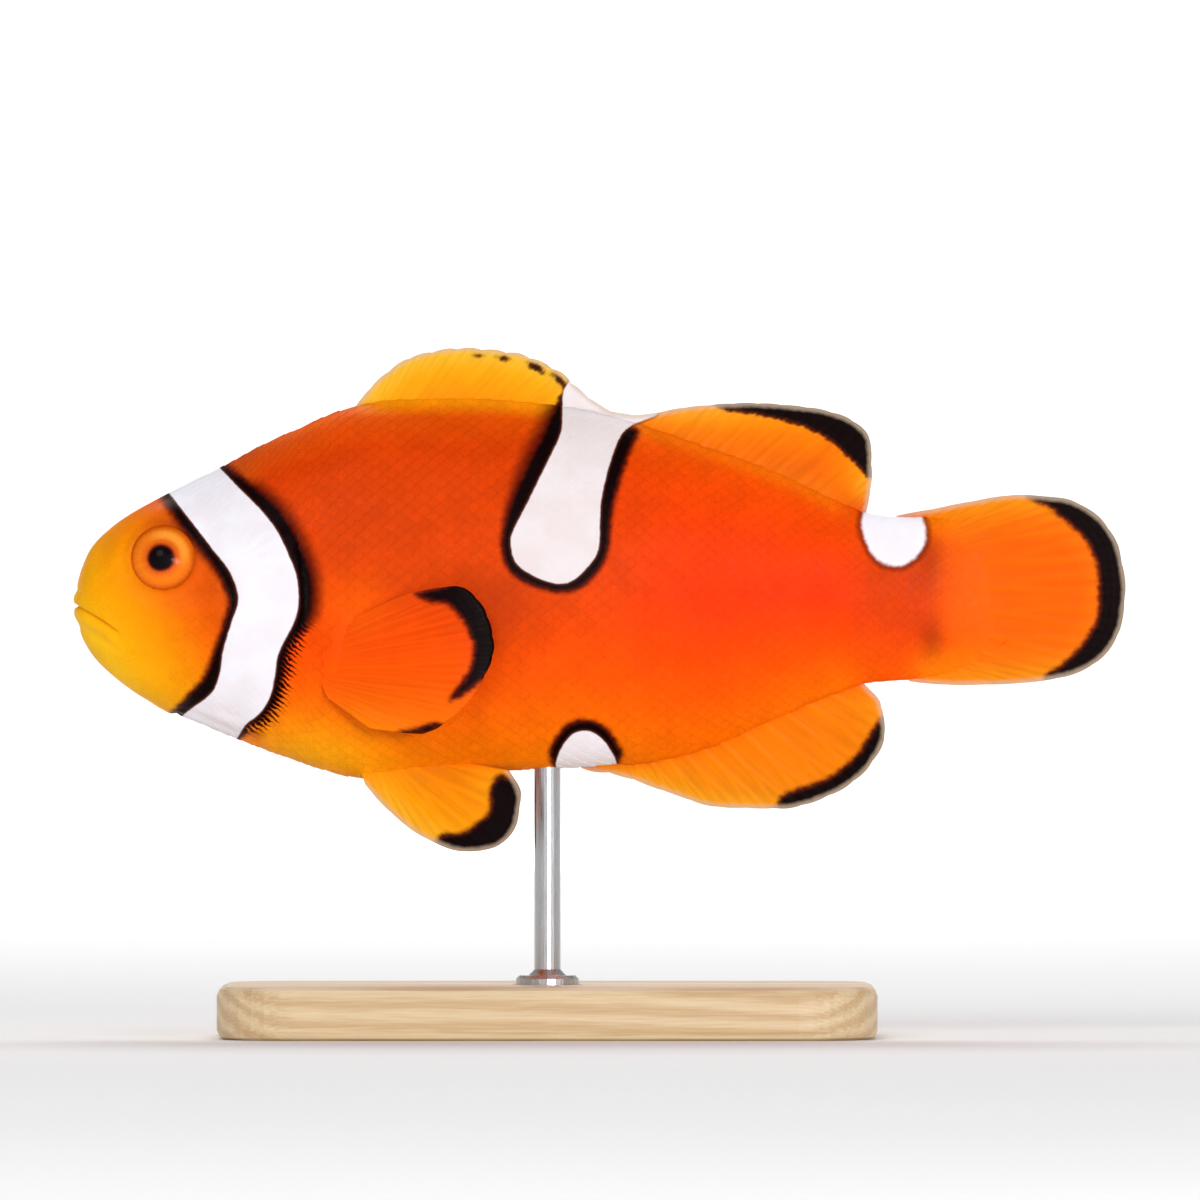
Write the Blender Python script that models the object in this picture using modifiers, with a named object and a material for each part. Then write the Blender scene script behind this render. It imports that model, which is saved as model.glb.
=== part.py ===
"""Clownfish on a plain display stand, life size, as closed solids.

Frame: metres, +Z up. The head points to -X and the left side to -Y. The origin is on the table,
under the middle of the fish's total length.

Shapes are written in millimetres in the fish's own measure: x is the distance behind the snout
tip, y the distance to the right of the middle plane and z the height over the body axis.
"""

import math

import bmesh
import bpy
import numpy as np
from mathutils import Matrix, Vector

MM = 0.001
GAP = 0.3  # between neighbouring pieces
FAR = 25.0  # from the body axis, clear of the whole fish
LEFT, RIGHT = -1, 1

# --- Driving sizes ---------------------------------------------------------------------------
TOTAL_LENGTH = 80.0
AXIS_HEIGHT = 34.0  # of the body axis over the table

# The body at stations behind the snout: back, belly, half width and height of the widest point.
BODY_STATIONS = (
    # x     back   belly   half   widest
    (0.0, -0.8, -0.8, 0.00, -0.8),
    (0.4, 1.55, -3.45, 2.00, -0.9),
    (1.2, 3.3, -4.9, 3.05, -1.0),
    (2.7, 4.8, -6.5, 4.05, -1.2),
    (5.7, 6.7, -8.6, 5.15, -1.3),
    (10.3, 9.0, -10.5, 6.00, -1.5),
    (16.4, 12.1, -12.9, 6.60, -1.5),
    (22.4, 14.15, -14.4, 6.75, -1.0),
    (30.0, 14.3, -13.9, 6.40, -0.5),
    (38.0, 13.6, -13.6, 5.50, 0.0),
    (42.8, 12.4, -13.0, 4.80, 0.0),
    (47.6, 10.8, -12.0, 4.00, 0.0),
    (53.7, 8.6, -9.4, 2.95, -0.3),
    (59.7, 6.0, -7.2, 2.00, -0.6),
    (62.5, 5.7, -7.0, 1.60, -0.6),
    (66.5, 6.2, -7.1, 0.90, -0.6),
)
BODY_RINGS = 30
BODY_SIDES = 32
BACK_PINCH = 1.18  # over 1 draws the flanks in towards a narrow back
BELLY_PINCH = 0.95  # under 1 keeps the belly round

# Where the body is divided.
VENT_X = 42.0
STALK_X = 60.0
FIN_ROOT_X = 65.7

# The free edge of the gill cover, carried on over the nape and the throat: (x, z).
GILL_EDGE = (
    (14.6, 18.0),
    (15.9, 9.0),
    (17.0, 3.4),
    (17.4, -0.8),
    (16.9, -3.8),
    (15.7, -6.6),
    (14.4, -9.8),
    (12.6, -16.0),
)
# The ridge of the cheek plate, in front of the gill cover: (x, z).
CHEEK_EDGE = ((14.6, 4.4), (12.4, 2.4), (12.0, -0.9), (11.4, -3.2), (10.4, -6.2), (8.8, -9.4))
GILL_TOP, GILL_BOTTOM = 4.2, -9.2
GILL_THICKNESS = 1.0
GILL_COLUMNS, GILL_ROWS = 6, 10
GILL_LINE_STEPS = 24
POCKET_PROUD = 0.6  # the pocket's cutter stands this far out of the skin

# The lower jaw: the mouth's corner, and where the jaw ends under the chin.
MOUTH_FRONT = (-3.0, -1.3)
MOUTH_CORNER = (3.3, -3.3)
CHIN_END = (4.8, -9.5)

# The eye.
EYE_X, EYE_Z = 6.85, 2.45
EYE_RADIUS = 2.45
EYE_OUT = 3.05  # the ball's centre, to the side of the middle plane
EYE_FLATTENING = 0.92
EYE_SIDES, EYE_RINGS = 18, 10

# The stand.
ROD_X = 36.0
ROD_RADIUS = 1.0
ROD_TOP = -6.9
SOCKET_BOTTOM = -22.0  # the lower end of the socket's cutter, under the belly
FOOT_RADIUS, FOOT_HEIGHT = 2.4, 1.2
FOOT_FILLET = 0.45  # where the rod meets its foot
TURNED_CHAMFER = 0.25
TURNED_SIDES = 24
BASE_LENGTH, BASE_WIDTH, BASE_HEIGHT = 50.0, 28.0, 4.0
BASE_CORNER, BASE_CORNER_STEPS = 6.0, 8
BASE_EDGE, BASE_EDGE_STEPS = 0.7, 2
FOOT_RECESS = 0.8

# --- Colours: base colour, roughness, metallic -----------------------------------------------
FINISHES = {
    "orange_skin": ((0.86, 0.11, 0.005), 0.42, 0.0),
    "face_skin": ((0.93, 0.32, 0.01), 0.42, 0.0),
    "white_skin": ((0.86, 0.85, 0.88), 0.42, 0.0),
    "fin_skin": ((0.93, 0.25, 0.008), 0.45, 0.0),
    "eye": ((0.03, 0.01, 0.01), 0.08, 0.0),
    "stand_steel": ((0.62, 0.62, 0.64), 0.30, 1.0),
    "stand_wood": ((0.72, 0.58, 0.42), 0.50, 0.0),
}

# --- Fins ------------------------------------------------------------------------------------
# Each median fin has a root line, sunk into the body, and a tip line, from front to back: (x, z).
SPINY_ROOT = ((22.6, 12.6), (30.0, 13.0), (37.0, 12.4), (42.6, 11.2))
SPINY_TIP = (
    (21.9, 14.25),
    (23.2, 16.1),
    (25.9, 17.85),
    (29.5, 18.4),
    (33.4, 18.1),
    (36.7, 16.8),
    (39.3, 14.6),
    (41.0, 13.6),
    (42.6, 13.35),
)
SOFT_ROOT = ((43.0, 11.0), (48.0, 9.4), (53.5, 7.3), (58.6, 4.8))
SOFT_TIP = (
    (43.0, 13.35),
    (46.8, 13.95),
    (51.2, 14.25),
    (55.6, 13.95),
    (58.9, 13.1),
    (60.6, 11.3),
    (60.7, 8.8),
    (60.1, 6.1),
)
ANAL_ROOT = ((41.6, -11.6), (47.6, -10.4), (53.0, -8.2), (58.2, -5.8))
ANAL_TIP = (
    (41.4, -14.1),
    (45.0, -15.35),
    (49.2, -16.55),
    (53.8, -16.65),
    (57.7, -15.55),
    (60.6, -13.3),
    (61.7, -10.9),
    (61.4, -8.7),
    (60.0, -7.3),
)
CAUDAL_ROOT = ((66.0, 6.15), (66.0, 2.0), (66.0, -2.8), (66.0, -7.15))
CAUDAL_TIP = (
    (67.4, 6.55),
    (71.8, 7.25),
    (75.2, 7.0),
    (78.0, 5.55),
    (79.55, 3.0),
    (80.0, 0.0),
    (79.65, -2.8),
    (78.0, -5.35),
    (75.2, -6.65),
    (71.2, -7.15),
    (67.4, -7.2),
)
FIN_ROOT_THICKNESS = 1.5
FIN_TIP_THICKNESS = 0.6
FIN_COLUMNS, FIN_ROWS = 18, 4

# The paired fins are drawn from the middle of their root, as the flank shows them: (x, z).
PECTORAL_AT = (19.6, 6.0, -5.6)
PECTORAL_ROOT = ((-0.6, 2.7), (-0.9, 0.0), (-0.2, -2.6))
PECTORAL_TIP = (
    (2.6, 3.9),
    (6.2, 5.4),
    (9.6, 5.9),
    (11.8, 3.9),
    (12.4, 1.3),
    (11.4, -1.5),
    (9.4, -3.9),
    (6.8, -5.3),
    (3.0, -4.9),
)
# The blade stands off the flank by this slope and curls back to it along its length.
PECTORAL_SPLAY, PECTORAL_CURL = 0.42, 0.0225

PELVIC_AT = (22.6, 1.9, -13.0)
PELVIC_SPLAY = 0.25  # outwards for every millimetre down
PELVIC_ROOT = ((-0.9, -0.3), (0.6, 0.3), (2.6, 0.5))
PELVIC_TIP = (
    (-0.4, -1.9),
    (1.6, -4.0),
    (4.4, -6.0),
    (7.2, -6.9),
    (9.6, -6.5),
    (11.1, -4.7),
    (11.4, -2.6),
    (10.5, -0.9),
)


# --- Placing and smoothing -------------------------------------------------------------------
def place(x, y, z):
    """A point of the fish in the world, in metres."""
    return Vector(((x - TOTAL_LENGTH / 2) * MM, y * MM, (z + AXIS_HEIGHT) * MM))


def smooth_value(places, values, at):
    """A smooth curve through the values, which never overshoots them."""
    places, values = np.asarray(places, float), np.asarray(values, float)
    step, rise = np.diff(places), np.diff(values)
    slope = rise / step
    inner = np.zeros(len(places))
    same_way = slope[:-1] * slope[1:] > 0
    before, after = 2 * step[1:] + step[:-1], step[1:] + 2 * step[:-1]
    with np.errstate(divide="ignore", invalid="ignore"):
        mean = (before + after) / (before / slope[:-1] + after / slope[1:])
    inner[1:-1] = np.where(same_way, mean, 0.0)
    inner[0], inner[-1] = slope[0], slope[-1]
    i = int(np.clip(np.searchsorted(places, at, side="right") - 1, 0, len(step) - 1))
    t = (at - places[i]) / step[i]
    return float(
        values[i] * (1 + 2 * t) * (1 - t) ** 2
        + inner[i] * step[i] * t * (1 - t) ** 2
        + values[i + 1] * t * t * (3 - 2 * t)
        + inner[i + 1] * step[i] * t * t * (t - 1)
    )


def along_line(points, share):
    """The point this share of the way along a smooth line through the points."""
    points = np.asarray(points, float)
    runs = np.linalg.norm(np.diff(points, axis=0), axis=1)
    where = np.concatenate([[0], np.cumsum(runs)]) / runs.sum()
    return [smooth_value(where, column, share) for column in points.T]


def body_sizes(x):
    """Back, belly, half width and height of the widest point, x behind the snout."""
    # The square root makes the snout blunt and round, because it has no slope limit at 0.
    where = [math.sqrt(station[0]) for station in BODY_STATIONS]
    return [
        smooth_value(where, [station[k] for station in BODY_STATIONS], math.sqrt(x))
        for k in range(1, 5)
    ]


def body_point(x, angle, grow=0.0):
    """A point of the skin. The angle runs from 0 on the back to 180 under the belly and round."""
    back, belly, half, widest = body_sizes(x)
    up = math.cos(angle)
    pinch = BACK_PINCH if up > 0 else BELLY_PINCH
    side = math.copysign(abs(math.sin(angle)) ** pinch, math.sin(angle))
    reach = (back - widest if up > 0 else widest - belly) + grow
    return x, (half + grow) * side, widest + reach * up


def flank(x, z):
    """The body's half width at this height."""
    back, belly, half, widest = body_sizes(x)
    reach = back - widest if z > widest else widest - belly
    up = min(1.0, abs(z - widest) / reach)
    pinch = BACK_PINCH if z > widest else BELLY_PINCH
    return half * math.sqrt(1 - up * up) ** pinch


# --- Blender helpers -------------------------------------------------------------------------
def clear_scene():
    for obj in list(bpy.data.objects):
        bpy.data.objects.remove(obj)


def make_collection(name):
    collection = bpy.data.collections.new(name)
    bpy.context.scene.collection.children.link(collection)
    return collection


def make_material(name):
    colour, roughness, metallic = FINISHES[name]
    material = bpy.data.materials.new(name)
    material.use_nodes = True
    shader = material.node_tree.nodes["Principled BSDF"]
    shader.inputs["Base Color"].default_value = (*colour, 1.0)
    shader.inputs["Roughness"].default_value = roughness
    shader.inputs["Metallic"].default_value = metallic
    return material


def new_part(name, mesh, finish):
    """A visible solid of the model, which has its own copy of the mesh."""
    part = bpy.data.objects.new(name, mesh.copy())
    part.data.materials.clear()
    part.data.materials.append(materials[finish])
    parts.objects.link(part)
    return part


def new_cutter(name, mesh):
    cutter = bpy.data.objects.new(name, mesh)
    cutter.hide_render = True
    cutter.display_type = "WIRE"
    cutters.objects.link(cutter)
    return cutter


def add_boolean(part, operation, other):
    modifier = part.modifiers.new(operation.lower() + "_" + other.name, "BOOLEAN")
    modifier.operation = operation
    modifier.object = other


def mesh_from(form, name):
    """The mesh that a bmesh holds, with its faces turned outwards."""
    bmesh.ops.recalc_face_normals(form, faces=form.faces)
    mesh = bpy.data.meshes.new(name)
    form.to_mesh(mesh)
    form.free()
    return mesh


def prism_mesh(name, outline):
    """A flat outline in the (x, z) plane, made deeper than the body to both sides."""
    curve = bpy.data.curves.new(name, "CURVE")
    curve.dimensions = "2D"
    curve.fill_mode = "BOTH"
    curve.extrude = FAR * MM
    spline = curve.splines.new("POLY")
    spline.points.add(len(outline) - 1)
    for point, (x, z) in zip(spline.points, outline, strict=True):
        at = place(x, 0, z)
        point.co = (at.x, at.z, 0, 1)
    spline.use_cyclic_u = True
    drawn = bpy.data.objects.new(name, curve)
    cutters.objects.link(drawn)
    bpy.context.view_layer.update()
    graph = bpy.context.evaluated_depsgraph_get()
    flat = bpy.data.meshes.new_from_object(drawn.evaluated_get(graph))
    bpy.data.objects.remove(drawn)
    form = bmesh.new()
    form.from_mesh(flat)
    bmesh.ops.remove_doubles(form, verts=form.verts, dist=1e-6)
    form.transform(Matrix.Rotation(math.radians(90), 4, "X"))
    return mesh_from(form, name)


# --- The body --------------------------------------------------------------------------------
def body_mesh(name, grow=0.0):
    """The whole body as one loft from the snout to the root of the tail fin."""
    last = math.sqrt(BODY_STATIONS[-1][0])
    rings = [(last * k / BODY_RINGS) ** 2 for k in range(1, BODY_RINGS + 1)]
    angles = [math.tau * k / BODY_SIDES for k in range(BODY_SIDES)]
    form = bmesh.new()
    tip = form.verts.new(place(-grow, 0, BODY_STATIONS[0][1]))
    loops = [
        [form.verts.new(place(*body_point(x, angle, grow))) for angle in angles]
        for x in rings
    ]
    for k in range(BODY_SIDES):
        after = (k + 1) % BODY_SIDES
        form.faces.new((tip, loops[0][k], loops[0][after]))
        for front, rear in zip(loops, loops[1:], strict=False):
            form.faces.new((front[k], rear[k], rear[after], front[after]))
    form.faces.new(loops[-1])
    return mesh_from(form, name)


def gill_line(shift):
    """The gill cover's edge, moved this far back."""
    shares = [k / GILL_LINE_STEPS for k in range(GILL_LINE_STEPS + 1)]
    line = [along_line(GILL_EDGE, share) for share in shares]
    return [(x + shift, z) for x, z in line]


def gill_patch(name, side, grow):
    """The gill cover as a plate that lies in the body's surface, from the cheek to its free edge."""
    form = bmesh.new()
    bmesh.ops.create_grid(form, x_segments=GILL_COLUMNS, y_segments=GILL_ROWS, size=0.5)
    top, bottom = GILL_TOP + grow, GILL_BOTTOM - grow
    cheek = sorted((z, x) for x, z in CHEEK_EDGE)
    edge = sorted((z, x) for x, z in GILL_EDGE)
    for vertex in form.verts:
        z = bottom + (top - bottom) * (vertex.co.y + 0.5)
        front = smooth_value(*zip(*cheek, strict=True), z) - grow
        rear = smooth_value(*zip(*edge, strict=True), z) + grow - GAP / 2
        x = front + (rear - front) * (vertex.co.x + 0.5)
        # A grown patch stands clear of the skin, so that it cuts right through it.
        outwards = POCKET_PROUD if grow else 0.0
        vertex.co = place(x, side * (flank(x, z) + outwards), z)
    return mesh_from(form, name)


def thicken(part, thickness, side):
    """Gives a patch its thickness, from the skin inwards."""
    solid = part.modifiers.new("plate", "SOLIDIFY")
    solid.thickness = thickness * MM
    solid.offset = -1.0
    # The grid faces the same way on both sides of the body, so one side is turned over.
    if sum(face.normal.y for face in part.data.polygons) * side < 0:
        part.data.flip_normals()
    return part


def region(name, front, rear):
    """Everything between two lines that run from above the fish to below it."""
    return new_cutter(name, prism_mesh(name, [*front, *reversed(rear)]))


def upright(x):
    return [(x, FAR), (x, -FAR)]


def jaw_outline(grow):
    (front_x, front_z), (corner_x, corner_z) = MOUTH_FRONT, MOUTH_CORNER
    chin_x, chin_z = CHIN_END
    return [
        (front_x, front_z + grow),
        (corner_x + grow, corner_z + grow),
        (chin_x + grow, chin_z),
        (chin_x + grow, -FAR),
        (front_x, -FAR),
    ]


def eye_mesh(name, side, grow):
    form = bmesh.new()
    bmesh.ops.create_uvsphere(
        form, u_segments=EYE_SIDES, v_segments=EYE_RINGS, radius=(EYE_RADIUS + grow) * MM
    )
    # The poles of the ball point out of the two sides of the head.
    form.transform(Matrix.Rotation(math.radians(90), 4, "X"))
    form.transform(Matrix.Diagonal((1, EYE_FLATTENING, 1, 1)))
    form.transform(Matrix.Translation(place(EYE_X, side * EYE_OUT, EYE_Z)))
    return mesh_from(form, name)


def build_head(body):
    head = new_part("head", body, "face_skin")
    head_region = region("head_region", upright(-FAR), gill_line(-GAP / 2))
    add_boolean(head, "INTERSECT", head_region)
    jaw_room = new_cutter("jaw_room", prism_mesh("jaw_room", jaw_outline(GAP)))
    add_boolean(head, "DIFFERENCE", jaw_room)
    for side, word in ((LEFT, "left"), (RIGHT, "right")):
        pocket = new_cutter("gill_pocket_" + word, gill_patch("pocket_" + word, side, GAP))
        thicken(pocket, GILL_THICKNESS + POCKET_PROUD + GAP, side)
        add_boolean(head, "DIFFERENCE", pocket)
        cover = new_part("gill_cover_" + word, gill_patch("cover", side, 0.0), "white_skin")
        thicken(cover, GILL_THICKNESS, side)
        socket = new_cutter("eye_socket_" + word, eye_mesh("socket", side, GAP))
        add_boolean(head, "DIFFERENCE", socket)
        new_part("eye_" + word, eye_mesh("ball", side, 0.0), "eye")
    jaw = new_part("lower_jaw", body, "face_skin")
    jaw_region = new_cutter("jaw_region", prism_mesh("jaw_region", jaw_outline(0.0)))
    add_boolean(jaw, "INTERSECT", jaw_region)


def build_trunk(body):
    half = GAP / 2
    trunk = new_part("trunk", body, "orange_skin")
    add_boolean(
        trunk, "INTERSECT", region("trunk_region", gill_line(half), upright(VENT_X - half))
    )
    add_boolean(trunk, "DIFFERENCE", rod_socket())
    hind_body = new_part("hind_body", body, "orange_skin")
    hind_region = region("hind_region", upright(VENT_X + half), upright(STALK_X - half))
    add_boolean(hind_body, "INTERSECT", hind_region)
    stalk = new_part("tail_stalk", body, "orange_skin")
    stalk_region = region("stalk_region", upright(STALK_X + half), upright(FIN_ROOT_X))
    add_boolean(stalk, "INTERSECT", stalk_region)


# --- The fins --------------------------------------------------------------------------------
def blade_mesh(name, root, tip, bend):
    """A fin's blade: a grid whose columns are its rays, from the root line to the tip line."""
    form = bmesh.new()
    bmesh.ops.create_grid(form, x_segments=FIN_COLUMNS, y_segments=FIN_ROWS, size=0.5)
    weights = form.verts.layers.deform.verify()
    thinnest = FIN_TIP_THICKNESS / FIN_ROOT_THICKNESS
    for vertex in form.verts:
        along, out = vertex.co.x + 0.5, vertex.co.y + 0.5
        start, end = along_line(root, along), along_line(tip, along)
        x, z = (a + (b - a) * out for a, b in zip(start, end, strict=True))
        vertex.co = Vector((x, bend(x, z), z)) * MM
        vertex[weights][0] = 1 - (1 - thinnest) * out
    mesh = bpy.data.meshes.new(name)
    form.to_mesh(mesh)
    form.free()
    return mesh


def new_fin(name, root, tip, at=(0.0, 0.0, 0.0), bend=lambda x, z: 0.0):
    """The blade as a plate that thins from the root to the tip."""
    fin = new_part(name, blade_mesh(name, root, tip, bend), "fin_skin")
    fin.location = place(*at)
    fin.vertex_groups.new(name="thickness")
    plate = fin.modifiers.new("plate", "SOLIDIFY")
    plate.thickness = FIN_ROOT_THICKNESS * MM
    plate.offset = 0.0
    plate.vertex_group = "thickness"
    return fin


def build_median_fins(clearance):
    for name, root, tip in (
        ("dorsal_fin_spiny", SPINY_ROOT, SPINY_TIP),
        ("dorsal_fin_soft", SOFT_ROOT, SOFT_TIP),
        ("anal_fin", ANAL_ROOT, ANAL_TIP),
    ):
        add_boolean(new_fin(name, root, tip), "DIFFERENCE", clearance)
    new_fin("tail_fin", CAUDAL_ROOT, CAUDAL_TIP)


def build_paired_fins(clearance, side, word):
    def stand_off(x, z):
        return side * (PECTORAL_SPLAY * x - PECTORAL_CURL * x * x)

    def hang_out(x, z):
        return side * PELVIC_SPLAY * -z

    for name, root, tip, at, bend in (
        ("pectoral_fin_", PECTORAL_ROOT, PECTORAL_TIP, PECTORAL_AT, stand_off),
        ("pelvic_fin_", PELVIC_ROOT, PELVIC_TIP, PELVIC_AT, hang_out),
    ):
        x, y, z = at
        fin = new_fin(name + word, root, tip, (x, side * y, z), bend)
        add_boolean(fin, "DIFFERENCE", clearance)


# --- The stand -------------------------------------------------------------------------------
def cylinder_mesh(name, radius, bottom, top):
    """An upright round bar at the rod's place. Bottom and top are heights over the table."""
    form = bmesh.new()
    bmesh.ops.create_cone(
        form,
        cap_ends=True,
        segments=TURNED_SIDES,
        radius1=radius * MM,
        radius2=radius * MM,
        depth=(top - bottom) * MM,
    )
    middle = (bottom + top) / 2 - AXIS_HEIGHT
    form.transform(Matrix.Translation(place(ROD_X, 0, middle)))
    return mesh_from(form, name)


def rod_socket():
    """The blind hole in the belly that the rod goes up into."""
    bottom, top = AXIS_HEIGHT + SOCKET_BOTTOM, AXIS_HEIGHT + ROD_TOP + GAP
    hole = cylinder_mesh("rod_socket", ROD_RADIUS + GAP, bottom, top)
    return new_cutter("rod_socket", hole)


def turned_part(name, profile, finish):
    """A profile of (radius, height over the table), from the top down, turned round the rod's axis."""
    mesh = bpy.data.meshes.new(name)
    points = [Vector((radius * MM, 0, height * MM)) for radius, height in profile]
    edges = [(k, k + 1) for k in range(len(points) - 1)]
    mesh.from_pydata(points, edges, [])
    turned = new_part(name, mesh, finish)
    turned.location = place(ROD_X, 0, -AXIS_HEIGHT)
    screw = turned.modifiers.new("turn", "SCREW")
    screw.steps = screw.render_steps = TURNED_SIDES
    screw.use_merge_vertices = True
    screw.merge_threshold = 1e-5
    screw.use_smooth_shade = True


def build_rod():
    foot_bottom = BASE_HEIGHT - FOOT_RECESS + GAP
    foot_top = foot_bottom + FOOT_HEIGHT
    rod_top = AXIS_HEIGHT + ROD_TOP
    profile = (
        (0.0, rod_top),
        (ROD_RADIUS - TURNED_CHAMFER, rod_top),
        (ROD_RADIUS, rod_top - TURNED_CHAMFER),
        (ROD_RADIUS, foot_top + FOOT_FILLET),
        (ROD_RADIUS + FOOT_FILLET, foot_top),
        (FOOT_RADIUS - TURNED_CHAMFER, foot_top),
        (FOOT_RADIUS, foot_top - TURNED_CHAMFER),
        (FOOT_RADIUS, foot_bottom),
        (0.0, foot_bottom),
    )
    turned_part("stand_rod", profile, "stand_steel")


def build_base():
    form = bmesh.new()
    bmesh.ops.create_cube(form, size=MM)
    form.transform(Matrix.Diagonal((BASE_LENGTH, BASE_WIDTH, BASE_HEIGHT, 1)))
    corners = [e for e in form.edges if abs(e.verts[0].co.z - e.verts[1].co.z) > MM]
    bmesh.ops.bevel(
        form,
        geom=corners,
        offset=BASE_CORNER * MM,
        segments=BASE_CORNER_STEPS,
        profile=0.5,
        affect="EDGES",
    )
    base_middle = BASE_HEIGHT / 2 - AXIS_HEIGHT
    form.transform(Matrix.Translation(place(ROD_X, 0, base_middle)))
    base = new_part("stand_base", mesh_from(form, "stand_base"), "stand_wood")
    rounding = base.modifiers.new("rounding", "BEVEL")
    rounding.width = BASE_EDGE * MM
    rounding.segments = BASE_EDGE_STEPS
    rounding.limit_method = "ANGLE"  # only top and bottom edges: the corners' steps are flatter
    rounding.angle_limit = math.radians(50)
    bottom, top = BASE_HEIGHT - FOOT_RECESS, BASE_HEIGHT + FOOT_HEIGHT
    recess = cylinder_mesh("foot_recess", FOOT_RADIUS + GAP, bottom, top)
    add_boolean(base, "DIFFERENCE", new_cutter("foot_recess", recess))


clear_scene()
parts = make_collection("clownfish")
cutters = make_collection("cutters")
materials = {name: make_material(name) for name in FINISHES}
whole_body = body_mesh("body")
body_room = new_cutter("body_room", body_mesh("body_room", GAP))
build_head(whole_body)
build_trunk(whole_body)
build_median_fins(body_room)
build_paired_fins(body_room, LEFT, "left")
build_paired_fins(body_room, RIGHT, "right")
build_rod()
build_base()
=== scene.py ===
"""The looks of the clownfish: skin, scales, rayed fins, eyes, stand, light and camera.

Shapes are written in millimetres in the fish's own measure, as the CAD has them: x is the distance
behind the snout tip, y the distance to the right of the middle plane and z the height over the body
axis. place() puts them into the frame.
"""

import math

import bpy
import numpy as np
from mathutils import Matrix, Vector


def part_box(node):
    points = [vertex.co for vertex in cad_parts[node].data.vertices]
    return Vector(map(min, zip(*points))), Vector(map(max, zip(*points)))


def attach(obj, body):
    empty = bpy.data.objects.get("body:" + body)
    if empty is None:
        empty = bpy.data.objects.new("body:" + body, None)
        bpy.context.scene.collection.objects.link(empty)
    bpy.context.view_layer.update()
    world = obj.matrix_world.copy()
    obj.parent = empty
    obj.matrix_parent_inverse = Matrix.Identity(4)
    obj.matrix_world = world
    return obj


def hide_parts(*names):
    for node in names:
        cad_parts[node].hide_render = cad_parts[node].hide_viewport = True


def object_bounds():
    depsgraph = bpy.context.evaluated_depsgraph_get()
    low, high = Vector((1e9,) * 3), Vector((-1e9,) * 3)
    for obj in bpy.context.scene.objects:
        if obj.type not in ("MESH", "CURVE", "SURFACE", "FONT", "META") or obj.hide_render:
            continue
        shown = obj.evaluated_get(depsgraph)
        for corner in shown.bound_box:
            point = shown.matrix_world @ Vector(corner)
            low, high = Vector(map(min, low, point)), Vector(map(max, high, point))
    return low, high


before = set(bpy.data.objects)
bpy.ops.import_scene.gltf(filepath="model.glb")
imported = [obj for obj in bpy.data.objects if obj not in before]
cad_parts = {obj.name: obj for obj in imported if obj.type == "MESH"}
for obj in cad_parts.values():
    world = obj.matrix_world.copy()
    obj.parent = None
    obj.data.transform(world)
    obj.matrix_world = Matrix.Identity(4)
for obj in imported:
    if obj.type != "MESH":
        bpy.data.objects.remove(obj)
cad_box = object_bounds()

MM = 0.001
LEFT, RIGHT = -1, 1
SIDES = ((LEFT, "left"), (RIGHT, "right"))

# --- The body, as the CAD has it ---
BODY_STATIONS = np.array((
    # x     back   belly   half   widest
    (0.0, -0.8, -0.8, 0.00, -0.8),
    (0.4, 1.55, -3.45, 2.00, -0.9),
    (1.2, 3.3, -4.9, 3.05, -1.0),
    (2.7, 4.8, -6.5, 4.05, -1.2),
    (5.7, 6.7, -8.6, 5.15, -1.3),
    (10.3, 9.0, -10.5, 6.00, -1.5),
    (16.4, 12.1, -12.9, 6.60, -1.5),
    (22.4, 14.15, -14.4, 6.75, -1.0),
    (30.0, 14.3, -13.9, 6.40, -0.5),
    (38.0, 13.6, -13.6, 5.50, 0.0),
    (42.8, 12.4, -13.0, 4.80, 0.0),
    (47.6, 10.8, -12.0, 4.00, 0.0),
    (53.7, 8.6, -9.4, 2.95, -0.3),
    (59.7, 6.0, -7.2, 2.00, -0.6),
    (62.5, 5.7, -7.0, 1.60, -0.6),
    (66.0, 5.6, -6.6, 0.95, -0.6),
    (69.0, 4.6, -5.6, 0.42, -0.6),  # the scaly wedge that runs out over the tail fin's root
    (71.0, 2.9, -3.9, 0.13, -0.6),
))
BACK_PINCH, BELLY_PINCH = 1.18, 0.95
COAT_DEPTH = 0.12  # the skin lies this far inside the solids, under the scales

EYE_X, EYE_Z = 6.85, 2.45
EYE_RADIUS = 2.42
EYE_PLANE = 4.40  # of the orbit's rim, to the side of the middle plane
EYE_BULGE = 0.95
EYE_TURN = (0.14, -0.19)  # the rim's slope along x and z: the eye looks a little forward and up
ORBIT_REACH = 5.2  # from the eye's middle to where the skin leaves the orbit's plane
PORE_RING = 3.35  # the radius of the ring of pores round the eye
PUPIL_SHIFT = -0.22  # of the pupil along z, out of the middle of the iris
LENS_BULGE, LENS_WIDTH = 0.10, 0.8  # of the middle of the ball, which the lens pushes out

GILL_EDGE = (
    (14.6, 18.0), (15.9, 9.0), (17.0, 3.4), (17.4, -0.8), (16.9, -3.8), (15.7, -6.6), (14.4, -9.8),
    (12.6, -16.0),
)
GILL_TOP = 4.4
CHEEK_EDGE = (
    (10.4, 2.6), (11.6, 0.9), (12.1, -0.7), (11.7, -2.6), (10.9, -4.8), (10.2, -6.6), (9.0, -8.2),
    (7.2, -9.6),
)
MOUTH = ((-0.5, -0.9), (0.0, -1.2), (1.0, -1.75), (2.2, -2.45), (3.3, -3.3), (4.2, -4.3))
MOUTH_CORNER_X = 3.3
NOSTRIL = (3.7, 2.3)
KEEL_WIDTH = 0.75  # of the swelling along the roots of the unpaired fins

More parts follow.
